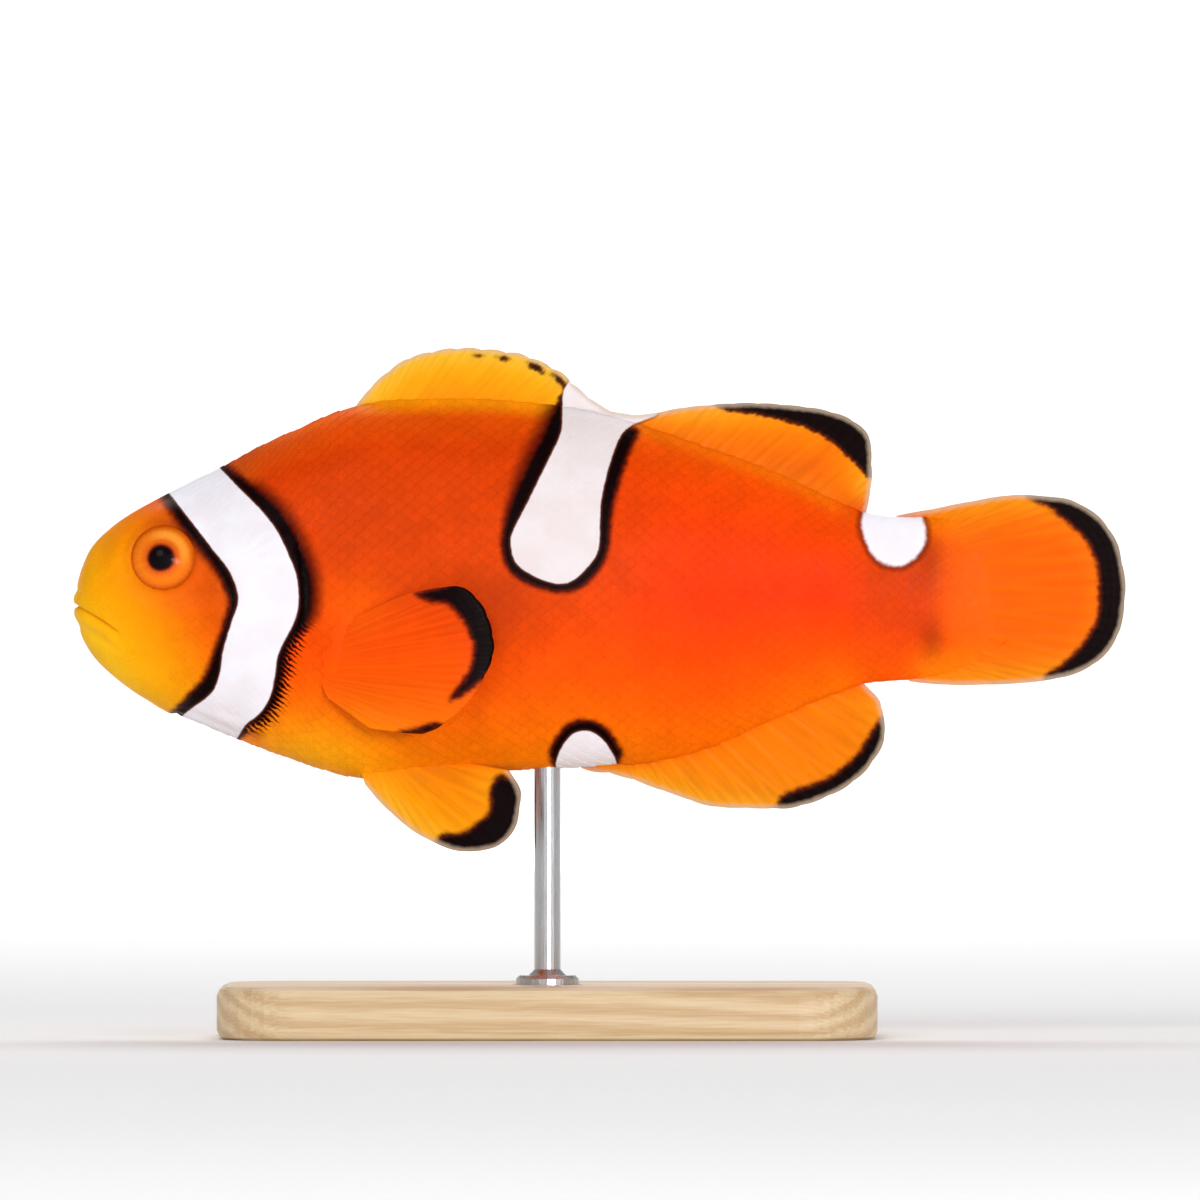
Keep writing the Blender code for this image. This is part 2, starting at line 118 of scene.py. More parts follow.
# --- Markings: closed outlines in the side view, (x, z), the same on both sides ---
HEAD_BAR = (
    (5.1, 10.0), (7.5, 7.0), (9.1, 5.0), (10.65, 3.0), (11.95, 1.3), (12.55, -0.7), (12.0, -2.6),
    (11.4, -4.6), (11.1, -6.5), (10.4, -7.9), (8.4, -9.4), (6.4, -11.4), (9.0, -13.6),
    (12.1, -11.6), (13.1, -10.3), (14.2, -9.4), (15.0, -8.2), (15.4, -6.6), (15.7, -4.8),
    (16.8, -2.6), (17.2, -1.2), (17.1, 0.9), (16.4, 2.8), (15.5, 4.6), (14.3, 6.1), (12.8, 7.6),
    (10.4, 10.0), (8.0, 12.0),
)
HEAD_BAR_EDGING = (
    (4.6, 10.0), (6.8, 7.0), (8.1, 5.0), (9.7, 3.0), (11.1, 1.1), (11.87, -0.8), (11.5, -2.5),
    (10.8, -4.5), (10.05, -6.5), (9.0, -7.7), (7.6, -9.2), (5.6, -11.0), (9.0, -13.6),
    (12.1, -11.6), (13.4, -10.7), (14.7, -10.0), (15.8, -8.3), (16.3, -6.5), (16.7, -4.7),
    (17.85, -2.6), (18.3, -0.9), (18.2, 1.1), (17.5, 3.1), (16.6, 4.9), (15.4, 6.5), (13.7, 7.9),
    (11.6, 9.4), (10.2, 10.6), (8.0, 12.0),
)
MIDDLE_BAR = (
    (37.1, 14.0), (37.0, 12.0), (35.9, 9.6), (34.5, 6.7), (33.3, 4.3), (33.25, 3.0), (33.7, 1.9),
    (35.0, 1.0), (36.6, 0.45), (37.8, 0.6), (39.0, 1.6), (39.9, 3.0), (40.05, 5.2), (40.15, 6.9),
    (40.7, 9.3), (41.5, 11.5), (42.3, 12.4), (43.4, 12.9), (44.4, 13.6), (42.0, 15.5), (38.6, 16.5),
    (37.3, 15.4),
)
MIDDLE_BAR_EDGING = (
    (37.3, 14.9), (36.4, 13.6), (35.7, 12.0), (34.5, 9.6), (33.3, 6.8), (32.65, 4.5), (32.6, 2.9),
    (33.2, 1.4), (34.7, 0.45), (36.6, -0.1), (38.2, 0.05), (39.6, 1.15), (40.55, 2.9), (40.8, 5.2),
    (41.1, 6.9), (41.8, 9.3), (42.5, 11.1), (42.9, 12.0), (42.2, 12.4), (39.0, 12.6),
)
TAIL_SPOT = (
    (59.8, 5.4), (60.2, 3.4), (61.1, 2.15), (62.3, 1.7), (63.4, 1.9), (64.5, 2.9), (64.9, 4.2),
    (64.6, 5.6), (63.6, 8.0), (61.0, 8.0),
)
BELLY_SPOT = (
    (36.6, -13.4), (37.15, -11.8), (38.0, -10.85), (39.0, -10.65), (40.0, -11.1), (40.9, -12.25),
    (41.3, -13.5), (40.4, -15.0), (37.4, -15.0),
)
BELLY_SPOT_EDGING = (
    (36.2, -12.7), (36.6, -11.4), (37.6, -10.2), (39.0, -9.9), (40.4, -10.45), (41.3, -11.7),
    (41.6, -12.7), (40.4, -14.0), (37.4, -14.0),
)
SOFT_DORSAL_BLACK = (
    (48.9, 14.6), (49.3, 13.75), (51.2, 13.45), (53.0, 13.1), (54.9, 12.6), (56.6, 11.9),
    (57.8, 11.1), (58.9, 10.1), (59.8, 9.2), (60.5, 8.5), (61.5, 9.0), (61.5, 12.0), (59.8, 14.2),
    (55.0, 15.0),
)
CAUDAL_BLACK = (
    (72.6, 7.3), (74.2, 6.3), (75.6, 5.15), (76.7, 4.2), (77.45, 3.0), (77.85, 1.8), (78.0, 0.4),
    (78.0, -1.4), (77.8, -2.4), (77.25, -3.4), (76.4, -4.5), (75.3, -5.6), (73.9, -6.8),
    (76.5, -8.0), (79.8, -6.0), (81.0, -3.0), (81.2, 0.0), (81.0, 3.0), (79.5, 6.0), (76.5, 8.0),
)
ANAL_BLACK = (
    (61.9, -9.6), (61.1, -10.2), (60.6, -11.0), (59.5, -12.6), (57.9, -14.0), (56.3, -14.8),
    (54.6, -15.35), (53.6, -16.1), (54.0, -17.6), (58.5, -17.4), (62.0, -14.5), (63.0, -11.0),
)
PELVIC_BLACK = (
    (33.0, -14.3), (32.4, -14.1), (31.9, -14.7), (31.65, -15.6), (31.7, -16.4), (31.5, -17.1),
    (30.6, -17.8), (29.8, -18.35), (28.8, -18.55), (27.9, -18.7), (27.5, -20.2), (31.0, -20.8),
    (34.2, -19.0), (35.2, -15.5),
)
PECTORAL_BLACK = (
    (26.1, -0.3), (26.5, -0.6), (27.4, -0.9), (28.5, -1.05), (29.6, -2.2), (30.3, -3.6),
    (30.5, -4.5), (30.1, -6.2), (29.0, -7.7), (28.7, -8.3), (29.5, -8.0), (30.7, -7.1),
    (31.6, -6.2), (33.4, -4.6), (33.0, -1.2), (30.6, 1.2), (28.2, 0.25), (26.7, -0.1),
)
PECTORAL_STROKE = (
    (24.6, -10.85), (26.0, -10.55), (27.4, -10.1), (28.1, -10.3), (27.2, -10.75), (26.0, -10.95),
)
OUTLINE_CUTS = 5  # short straight pieces between two points of an outline
TOOTH_PITCH = 0.34  # of the teeth behind the head bar

# --- Colours, as display values ---
# The darker back and paler belly of these gradients are partly the fish's own colour and partly
# painted light and shade.
FLANK = (  # by the share of the way up from belly to back
    (0.0, "fb8604"), (0.10, "fb7203"), (0.17, "fb6603"), (0.25, "fb5802"), (0.34, "f94f02"),
    (0.43, "ec4803"), (0.53, "e04504"), (0.65, "de4303"), (0.88, "da4002"), (0.96, "e65203"),
    (1.0, "f06604"),
)
REAR_FLANK = (
    (0.0, "fe7402"), (0.10, "fe6301"), (0.19, "fd5501"), (0.29, "fe4a01"), (0.38, "fd4101"),
    (0.50, "fa3801"), (0.75, "f44001"), (0.90, "f04a03"), (1.0, "ee5604"),
)
TAIL_STALK = ((0.0, "f85a04"), (0.3, "e84303"), (0.6, "d83e03"), (1.0, "dc4a04"))
TAIL_ROOT, TAIL_EDGE = "fe6101", "f88206"
DORSAL_FOOT = "fb9c0a"
FRONT_BELLY = "fcae10"
PECTORAL_GLOW = "ff6604"  # over the root of the pectoral fin
BROW = "b04410"
DARK_PATCHES = (  # how dark, the middle and the half sizes
    (0.25, (12.5, 11.0), (3.0, 2.5)),  # the nape
    (0.09, (23.0, 4.5), (4.0, 3.0)),  # the shoulder
    # The patch behind the pectoral fin is a painted shadow of the fin.
    (0.27, (32.5, -1.8), (3.4, 3.4)),  # behind the pectoral fin
    (0.34, (65.3, -3.6), (0.9, 1.5)),  # the tail fin's root, low and high
    (0.24, (65.2, 2.4), (0.9, 2.0)),
)
FACE = (  # by the distance behind the snout, less on the chin
    (-1.0, "fcbe16"), (1.0, "fbac08"), (4.0, "fc9404"), (7.0, "f47004"), (9.0, "e85c05"),
    (11.0, "e2570a"),
)
# Colours of a fin by the distance from its margin in millimetres.
SPINY_DORSAL = ((0.4, "f6bc30"), (1.6, "f9aa10"), (3.2, "fb9c08"), (4.2, "fb9408"))
SOFT_DORSAL = ((0.6, "f59a1c"), (1.3, "f98c08"), (2.2, "fa7c03"), (3.4, "f87003"), (5.2, "ea5e02"))
ANAL_FIN = ((0.4, "ee9a14"), (1.3, "f08a08"), (2.5, "f88305"), (5.0, "fe7c03"))
TAIL_FIN = ((0.5, "f08a0c"), (2.0, "f97004"), (3.6, "fe6301"))
ANAL_HIND = "f87806"
PELVIC_FIN = ((0.5, "f0a820"), (1.8, "fa9c06"), (4.0, "f98c04"))
WHITE, SHADED_WHITE = "f3f0f8", "e8dcdc"
EMBER, INK = "560d03", "0e0203"  # black markings fade out through dark red
WHITE_LINE = "5a1c06"  # round white that isn't edged in black
CLEAR_EDGE = "cbb299"
IRIS = (  # from the middle of the pupil outwards, as a share of IRIS_REACH
    (0.0, "080204"), (0.335, "0c0306"), (0.385, "4a0c04"), (0.43, "a83a12"), (0.49, "dc6018"),
    (0.58, "ee7012"), (0.70, "f47e12"), (0.84, "ee7410"), (0.90, "dc660c"), (0.94, "c8580a"),
    (1.0, "b04a06"),
)
IRIS_REACH = 2.6
# The iris's bright crescent colour is a painted highlight.
IRIS_HIGHLIGHT = "fda238"
STEEL_DARK, STEEL_PALE = (0.50, 0.50, 0.52, 1), (0.68, 0.68, 0.70, 1)
WOOD_DARK, WOOD_PALE = "c9a679", "e3cba4"
PAPER_DARK, PAPER_PALE = (0.94, 0.94, 0.94, 1), (0.96, 0.96, 0.96, 1)
FISH_GLOSS = 0.035  # the specular level of skin and fins, whose slime dulls them

# --- Fins: where rays are rooted and where they end, pair by pair ---
DORSAL = (
    ((20.9, 12.6), (21.4, 14.05)), ((21.8, 12.7), (23.2, 16.1)), ((23.2, 12.9), (25.9, 17.85)),
    ((25.4, 13.0), (29.5, 18.45)), ((28.6, 13.0), (33.4, 18.1)), ((32.0, 12.7), (36.7, 16.8)),
    ((35.4, 12.2), (39.3, 14.6)), ((37.6, 11.8), (41.0, 13.6)), ((39.6, 11.3), (42.8, 13.35)),
    ((43.4, 10.4), (46.8, 13.95)), ((46.4, 9.5), (51.2, 14.25)), ((49.4, 8.5), (55.6, 13.95)),
    ((52.2, 7.4), (58.9, 13.1)), ((54.6, 6.4), (60.6, 11.3)), ((56.8, 5.4), (60.7, 8.8)),
    ((58.6, 4.6), (60.3, 5.9)),
)
ANAL = (
    ((38.2, -12.0), (38.6, -13.7)), ((40.4, -11.8), (41.4, -14.15)),
    ((42.2, -11.6), (45.0, -15.35)), ((44.6, -11.2), (49.2, -16.55)),
    ((47.6, -10.5), (53.8, -16.65)), ((50.6, -9.3), (57.7, -15.55)), ((53.2, -8.2), (60.6, -13.3)),
    ((55.2, -7.3), (61.7, -10.9)), ((56.8, -6.6), (61.4, -8.7)), ((58.2, -5.8), (60.2, -7.2)),
)
CAUDAL = (
    ((61.8, 4.8), (62.6, 5.7)), ((63.4, 4.8), (65.4, 6.2)), ((64.8, 4.6), (68.2, 6.75)),
    ((65.6, 4.2), (71.8, 7.25)), ((66.0, 3.6), (75.2, 7.0)), ((66.0, 2.8), (78.0, 5.55)),
    ((66.0, 1.4), (79.55, 3.0)), ((66.0, -0.3), (80.0, 0.0)), ((66.0, -1.8), (79.65, -2.8)),
    ((66.0, -3.4), (78.0, -5.35)), ((65.9, -4.4), (75.2, -6.65)), ((65.4, -5.3), (71.2, -7.15)),
    ((64.4, -5.8), (67.2, -7.25)), ((62.6, -5.8), (63.6, -7.0)),
)
DORSAL_DASHES = ((30.7, 0.3), (32.7, 0.7), (35.1, 1.0), (37.0, 1.0), (38.3, 0.6))
PECTORAL_AT = (19.6, 6.0, -5.6)
PECTORAL = (
    ((-0.5, 2.7), (2.6, 3.9)), ((-0.7, 2.1), (6.2, 5.4)), ((-0.8, 1.4), (9.6, 5.9)),
    ((-0.9, 0.7), (11.8, 3.9)), ((-0.9, 0.0), (12.4, 1.3)), ((-0.8, -0.7), (11.4, -1.5)),
    ((-0.7, -1.4), (9.4, -3.9)), ((-0.5, -2.0), (6.8, -5.3)), ((-0.2, -2.6), (3.0, -4.9)),
)
PECTORAL_SPLAY, PECTORAL_CURL = 0.42, 0.0225
PELVIC_AT = (22.6, 1.9, -13.0)
PELVIC = (
    ((-0.9, -0.3), (-0.4, -1.9)), ((-0.3, 0.0), (1.6, -4.0)), ((0.4, 0.2), (4.4, -6.0)),
    ((1.0, 0.3), (7.2, -6.9)), ((1.5, 0.4), (9.6, -6.5)), ((2.0, 0.4), (11.1, -4.7)),
    ((2.4, 0.5), (11.4, -2.6)), ((2.8, 0.7), (10.5, -0.7)),
)
PELVIC_SPLAY = 0.25


# --- Numbers and curves ---
def ramp_up(value, start, end):
    """0 before start and 1 past end, with a smooth rise between. Start may be over end."""
    share = np.clip((value - start) / (end - start), 0.0, 1.0)
    return share * share * (3.0 - 2.0 * share)


def ridge(distance, width):
    """A round ridge of height 1 at distance 0."""
    return np.exp(-((distance / width) ** 2))


def spot(x, z, at, size):
    """A round soft patch."""
    return np.exp(-(((x - at[0]) / size[0]) ** 2) - ((z - at[1]) / size[1]) ** 2)


def smooth_curve(places, values):
    """A function that follows the values smoothly, one row of them at each place."""
    places = np.asarray(places, float)
    values = np.asarray(values, float).reshape(len(places), -1)
    step = np.diff(places)[:, None]
    slope = np.diff(values, axis=0) / step
    tangent = np.zeros_like(values)
    before, after = 2 * step[1:] + step[:-1], step[1:] + 2 * step[:-1]
    with np.errstate(divide="ignore", invalid="ignore"):
        mean = (before + after) / (before / slope[:-1] + after / slope[1:])
    # A tangent is level where the values turn, so the curve never overshoots them.
    tangent[1:-1] = np.where(slope[:-1] * slope[1:] > 0, mean, 0.0)
    tangent[0], tangent[-1] = slope[0], slope[-1]

    def at(where):
        where = np.asarray(where, float)
        i = np.clip(np.searchsorted(places, where, side="right") - 1, 0, len(step) - 1)
        t = np.clip((where - places[i]) / step[i, 0], 0.0, 1.0)[..., None]
        run = step[i]
        found = (
            values[i] * (1 + 2 * t) * (1 - t) ** 2
            + tangent[i] * run * t * (1 - t) ** 2
            + values[i + 1] * t * t * (3 - 2 * t)
            + tangent[i + 1] * run * t * t * (t - 1)
        )
        return found[..., 0] if values.shape[1] == 1 else found

    return at


def height_curve(points):
    """x as a smooth function of z, for an edge that runs up and down."""
    upwards = sorted(points, key=lambda point: point[1])
    return smooth_curve([z for _, z in upwards], [x for x, _ in upwards])


def run_along(points):
    """How far along a line each of its points lies."""
    steps = np.linalg.norm(np.diff(points, axis=0), axis=1)
    return np.concatenate([[0], np.cumsum(steps)])


def paired_lines(pairs):
    """The root line and the tip line of a fin, by the share of the way along its margin."""
    roots, tips = np.moveaxis(np.array(pairs, float), 1, 0)
    run = run_along(tips)
    return smooth_curve(run / run[-1], roots), smooth_curve(run / run[-1], tips)


def closed_outline(points):
    """A smooth closed outline through the points, as a fine polygon."""
    p = np.asarray(points, float)
    t = (np.arange(OUTLINE_CUTS) / OUTLINE_CUTS)[None, :, None]
    before, after = np.roll(p, 1, 0)[:, None], np.roll(p, -1, 0)[:, None]
    beyond = np.roll(p, -2, 0)[:, None]
    p = p[:, None]
    curve = 0.5 * (
        2 * p
        + (after - before) * t
        + (2 * before - 5 * p + 4 * after - beyond) * t**2
        + (3 * p - before - 3 * after + beyond) * t**3
    )
    return curve.reshape(-1, 2)


def stretch_distance(a, b, x, z):
    """The distance of each point from the straight stretch between a and b."""
    (ax, az), (bx, bz) = a, b
    along = ((x - ax) * (bx - ax) + (z - az) * (bz - az)) / ((bx - ax) ** 2 + (bz - az) ** 2)
    along = np.clip(along, 0.0, 1.0)
    return np.hypot(x - ax - along * (bx - ax), z - az - along * (bz - az))


def line_distance(points, x, z):
    """The distance of each point from an open line."""
    stretches = zip(points[:-1], points[1:], strict=True)
    return np.min([stretch_distance(a, b, x, z) for a, b in stretches], axis=0)


def depth_in(outline, x, z):
    """How far inside a closed outline each point lies, negative outside it."""
    polygon = closed_outline(outline)
    nearest = np.full(x.shape, np.inf)
    inside = np.zeros(x.shape, bool)
    for a, b in zip(polygon, np.roll(polygon, -1, 0), strict=True):
        nearest = np.minimum(nearest, stretch_distance(a, b, x, z))
        (ax, az), (bx, bz) = a, b
        if az != bz:
            crosses = (az > z) != (bz > z)
            inside ^= crosses & (x < ax + (z - az) * (bx - ax) / (bz - az))
    return np.where(inside, nearest, -nearest)


def deepest(outlines, x, z):
    """The depth in whichever outline holds the point best."""
    return np.max([depth_in(outline, x, z) for outline in outlines], axis=0)


def wobble(x, y, z):
    """A slow, even unevenness between -1 and 1."""
    waves = np.sin(0.9 * x + 0.7 * z) + np.sin(1.3 * z - 0.5 * x + 0.8 * y + 2.1)
    return (waves + np.sin(0.6 * x - 1.1 * z + 1.7 * y)) / 3.0


def colour(code):
    """The linear colour of a display value such as ff8000."""
    parts = np.array([int(code[k : k + 2], 16) / 255 for k in (0, 2, 4)])
    return np.where(parts <= 0.04045, parts / 12.92, ((parts + 0.055) / 1.055) ** 2.4)


def gradient(stops, where):
    """Linear colours between the stops."""
    places = [place for place, _ in stops]
    colours = np.array([colour(code) for _, code in stops])
    return np.stack([np.interp(where, places, channel) for channel in colours.T], axis=-1)


def blend(a, b, share):
    return a + (b - a) * share[..., None]


# --- The frame ---
eye_low, eye_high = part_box("eye_left")
FISH_ORIGIN = np.array((cad_box[0].x, 0.0, (eye_low.z + eye_high.z) / 2 - EYE_Z * MM))


def place(points):
    """Points of the fish in the frame, in metres."""
    return np.asarray(points, float) * MM + FISH_ORIGIN


# --- The body's surface ---
body_sizes = smooth_curve(np.sqrt(BODY_STATIONS[:, 0]), BODY_STATIONS[:, 1:])
gill_x = height_curve(GILL_EDGE)
cheek_x = height_curve(CHEEK_EDGE)
mouth_z = smooth_curve([x for x, _ in MOUTH], [z for _, z in MOUTH])


def body_surface(root, angle):
    """Points of the bare body. root is the square root of x, so that the snout is round."""
    back, belly, half, widest = np.moveaxis(body_sizes(root), -1, 0)
    up, side = np.cos(angle), np.sin(angle)
    pinch = np.where(up > 0, BACK_PINCH, BELLY_PINCH)
    y = half * np.sign(side) * np.abs(side) ** pinch
    z = widest + np.where(up > 0, back - widest, widest - belly) * up
    return np.stack([root * root, y, z], axis=-1)


def body_normals(root, angle):
    small = 1e-3
    lengthwise = body_surface(root + small, angle) - body_surface(root - small, angle)
    round_it = body_surface(root, angle + small) - body_surface(root, angle - small)
    normal = np.cross(lengthwise, round_it)
    return normal / np.maximum(np.linalg.norm(normal, axis=-1, keepdims=True), 1e-12)


def edge_distance(edge, x, z):
    """How far behind an upright edge a point is."""
    slope = (edge(z + 0.05) - edge(z - 0.05)) / 0.1
    return (x - edge(z)) / np.hypot(1.0, slope)


def gill_relief(x, z):
    """The gill cover's free edge stands over the groove behind it."""
    teeth = 0.10 * np.abs(np.sin(math.pi * z / 0.62)) * ramp_up(z, 0.5, -1.5)
    behind = edge_distance(gill_x, x, z) - teeth
    there = ramp_up(z, GILL_TOP + 0.9, GILL_TOP - 0.8) * ramp_up(z, -11.4, -9.6)
    plate = 0.26 * ramp_up(behind, -4.0, -0.4) * (1 - ramp_up(behind, -0.06, 0.12))
    groove = -0.28 * ramp_up(behind, -0.06, 0.12) * (1 - ramp_up(behind, 0.2, 1.6))
    around = np.arctan2(z - 2.2, x - 12.3)
    rays = 0.025 * np.sin(17 * around) * ramp_up(behind, -5.0, -2.5) * (behind < 0)
    return there * (plate + groove + rays)


def cheek_relief(x, z):
    """The cheek plate's rounded hind edge."""
    behind = edge_distance(cheek_x, x, z)
    there = ramp_up(z, 2.9, 1.2)
    plate = 0.13 * ramp_up(behind, -2.2, -0.3) * (1 - ramp_up(behind, -0.15, 0.25))
    groove = -0.09 * ridge(behind - 0.35, 0.3)
    return there * (plate + groove)


def mouth_relief(x, z):
    """The cleft, both lips and the fold that frames them."""
    over = (z - mouth_z(x)) * 0.84
    there = ramp_up(x, MOUTH_CORNER_X + 0.6, MOUTH_CORNER_X - 0.9)
    cleft = -0.34 * ridge(over, 0.11) * ramp_up(x, MOUTH_CORNER_X + 0.15, MOUTH_CORNER_X - 0.25)
    lips = 0.17 * ridge(over - 0.44, 0.40) + 0.19 * ridge(over + 0.48, 0.44)
    folds = -0.07 * ridge(over - 1.10, 0.22) - 0.06 * ridge(over + 1.20, 0.24)
    corner = -0.14 * ridge(np.hypot(x - MOUTH_CORNER_X - 0.1, z + 3.35), 0.34)
    return cleft + there * (lips + folds) + corner


def nostril_relief(x, z):
    away = np.hypot(x - NOSTRIL[0], z - NOSTRIL[1])
    return -0.30 * ridge(away, 0.17) + 0.09 * ridge(away - 0.36, 0.13)


def pore_relief(x, z):
    """The small pores of the sense canals, round the eye and along the cheek."""
    total = np.zeros_like(x)
    for k in range(9):
        turn = math.radians(150 + 24 * k)
        px = EYE_X + PORE_RING * math.cos(turn)
        pz = EYE_Z + PORE_RING * math.sin(turn)
        total -= 0.07 * ridge(np.hypot(x - px, z - pz), 0.12)
    for k in range(6):
        pz = 0.6 - 1.6 * k
        total -= 0.06 * ridge(np.hypot(x - cheek_x(pz) + 0.7, z - pz), 0.12)
    return total


def root_relief(x, y, z):
    """The flesh swells where fins grow from it."""
    keel = ridge(y, KEEL_WIDTH) * ramp_up(x, 21.0, 24.0) * ramp_up(x, 61.5, 58.0)
    anal_keel = ridge(y, KEEL_WIDTH) * ramp_up(x, 40.5, 43.0) * ramp_up(x, 61.0, 58.0)
    fins = 0.35 * np.where(z > 0, keel, anal_keel)
    lobe = 0.50 * spot(x, z, (19.9, -5.6), (1.0, 2.9))
    hips = 0.35 * spot(x, np.abs(y), (23.4, PELVIC_AT[1]), (2.0, 0.9)) * (z < -9)
    return fins + lobe + hips


def throat_relief(x, y, z):
    """Soft lengthwise folds of the membrane under the gill covers."""
    under = ramp_up(z, -8.6, -9.8) * ramp_up(x, 4.5, 7.0) * ramp_up(x, 13.5, 11.5)
    return 0.06 * under * np.cos(math.tau * y / 1.5)


def relief(points):
    """How far the skin stands over the bare body."""
    x, y, z = np.moveaxis(points, -1, 0)
    face = gill_relief(x, z) + cheek_relief(x, z) + mouth_relief(x, z) + nostril_relief(x, z)
    face = face + pore_relief(x, z)
    return face + root_relief(x, y, z) + throat_relief(x, y, z) + 0.03 * wobble(x, y, z)


def seat_eyes(points):
    """Turns the skin round each eye to the orbit's plane, and sinks it inside the rim."""
    x, y, z = np.moveaxis(points, -1, 0)
    dx, dz = x - EYE_X, z - EYE_Z
    away = np.hypot(dx, dz)
    plane = EYE_PLANE + EYE_TURN[0] * dx + EYE_TURN[1] * dz
    out = plane + (np.abs(y) - plane) * ramp_up(away, 2.5, ORBIT_REACH)
    rim = 0.09 * ridge(away - 2.72, 0.24)
    socket = -1.5 * ramp_up(away, EYE_RADIUS + 0.02, EYE_RADIUS - 0.3)
    out = np.where(away < ORBIT_REACH, out + rim + socket, np.abs(y))
    return np.stack([x, np.sign(y) * out, z], axis=-1)


def skin_surface(root, angle, over=0.0):
    """Points of the finished skin, or this far over it."""
    bare = body_surface(root, angle)
    lift = relief(bare) - COAT_DEPTH + over
    return seat_eyes(bare + body_normals(root, angle) * lift[..., None])


# --- Colours and markings of the body ---
def body_height(x, z):
    """The share of the way up from belly to back, outside 0 to 1 beyond the body."""
    back, belly, _, _ = np.moveaxis(body_sizes(np.sqrt(np.maximum(x, 0.0))), -1, 0)
    return (z - belly) / np.maximum(back - belly, 0.1)


def above_back(x, z):
    return z - body_sizes(np.sqrt(np.maximum(x, 0.0)))[..., 0]


def below_belly(x, z):
    return body_sizes(np.sqrt(np.maximum(x, 0.0)))[..., 1] - z


def body_tint(x, z):
    """The orange of the body without its markings, with some painted light and shade in it."""
    height = np.clip(body_height(x, z), 0.0, 1.0)
    tint = blend(gradient(FLANK, height), gradient(REAR_FLANK, height), ramp_up(x, 37.0, 49.0))
    # Yellower at the foot of the back fin, most of all under its spines.
    foot = ramp_up(above_back(x, z), -1.3, 0.5)
    foot *= ramp_up(x, 20.5, 23.5) - 0.7 * ramp_up(x, 37.0, 41.0) - 0.3 * ramp_up(x, 57.0, 60.0)
    tint = blend(tint, colour(DORSAL_FOOT), foot)
    tint = blend(tint, gradient(TAIL_STALK, height), ramp_up(x, 57.0, 62.0))
    tint = blend(tint, colour(TAIL_ROOT), ramp_up(x, 64.2, 68.0))
    tail_edge = ramp_up(np.abs(z + 0.3), 3.2, 6.4) * ramp_up(x, 62.4, 66.0)
    tint = blend(tint, colour(TAIL_EDGE), 0.85 * tail_edge)
    tint = blend(tint, colour(FRONT_BELLY), 0.95 * spot(x, z, (17.5, -13.5), (6.5, 3.4)))
    tint = blend(tint, colour(PECTORAL_GLOW), 0.5 * spot(x, z, (21.5, -1.2), (3.0, 2.2)))
    from_snout = x + 0.7 * np.minimum(z, 0.0) + 0.2 * np.maximum(z, 0.0)
    tint = blend(tint, gradient(FACE, from_snout), ramp_up(x, 15.0, 12.5))
    tint = blend(tint, colour(BROW), 0.50 * spot(x, z, (7.9, 4.9), (1.9, 1.1)))
    # Painted shade: the fold round the orbit is darker, most of all over the eye, where the rim
    # above it shades it.
    dark = (0.08 + 0.16 * ramp_up(z, 1.0, 4.0)) * ridge(np.hypot(x - EYE_X, z - EYE_Z) - 2.6, 0.3)
    for share, at, size in DARK_PATCHES:
        dark = dark + share * spot(x, z, at, size)
    return tint * (1 - dark)[..., None]


def body_white(x, z):
    """The depth in the white markings. The tail spot's counts for less, as its edge is softer."""
    crisp = deepest((HEAD_BAR, MIDDLE_BAR, BELLY_SPOT), x, z)
    return np.maximum(crisp, 0.4 * depth_in(TAIL_SPOT, x, z))


def body_marks(points):
    """The attributes that the body's materials read."""
    x, _, z = np.moveaxis(points, -1, 0)
    comb = ramp_up(z, -2.0, -4.0) * ramp_up(z, -11.1, -10.4) * (x > 13.0) * (x < 20.0)
    soft_bar = 0.7 * ramp_up(z, 3.0, 11.0) * ridge(x - 34.5, 3.5)
    soft_nape = 0.5 * ramp_up(x, 13.0, 14.5) * (x < 20.0) * (1 - comb)
    return {
        "tint": body_tint(x, z),
        "white": body_white(x, z),
        "black": deepest((HEAD_BAR_EDGING, MIDDLE_BAR_EDGING, BELLY_SPOT_EDGING), x, z),
        "soft": 0.25 + soft_bar + soft_nape + 0.15 * ramp_up(z, 0.0, 2.5) * (x < 13.0),
        "comb": comb,
    }


# --- Meshes ---
def add_attributes(mesh, values):
    for name, data in values.items():
        data = np.asarray(data, float)
        if data.shape[-1] == 3 and data.ndim > 1:
            layer = mesh.attributes.new(name, "FLOAT_COLOR", "POINT")
            rgba = np.concatenate([data.reshape(-1, 3), np.ones((data.size // 3, 1))], axis=1)
            layer.data.foreach_set("color", rgba.ravel())
        else:
            layer = mesh.attributes.new(name, "FLOAT", "POINT")
            layer.data.foreach_set("value", data.ravel())


def add_object(name, data):
    made = bpy.data.objects.new(name, data)
    bpy.context.scene.collection.objects.link(made)
    return made


def smooth_mesh(name, points, faces, material):
    mesh = bpy.data.meshes.new(name)
    mesh.from_pydata(points, [], faces)
    mesh.validate()
    mesh.polygons.foreach_set("use_smooth", np.ones(len(mesh.polygons), bool))
    mesh.materials.append(material)
    return mesh


def new_piece(name, vertices, faces, material, values, uv=None):
    """A piece of the model that rides on the one body. uv has a row per corner of a face."""
    mesh = smooth_mesh(name, place(vertices), faces, material)
    add_attributes(mesh, values)
    if uv is not None:
        layer = mesh.uv_layers.new(name="OFBake")
        layer.data.foreach_set("uv", np.asarray(uv, float).ravel())
    piece = add_object(name, mesh)
    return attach(piece, "root")


def grid_faces(rows, columns, closed=False):
    """The four-sided faces of a grid of vertices, row by row."""
    last = columns if closed else columns - 1
    row, column = np.meshgrid(np.arange(rows - 1), np.arange(last), indexing="ij")
    here = row * columns + column
    after = row * columns + (column + 1) % columns
    return np.stack([here, after, after + columns, here + columns], axis=-1).reshape(-1, 4)


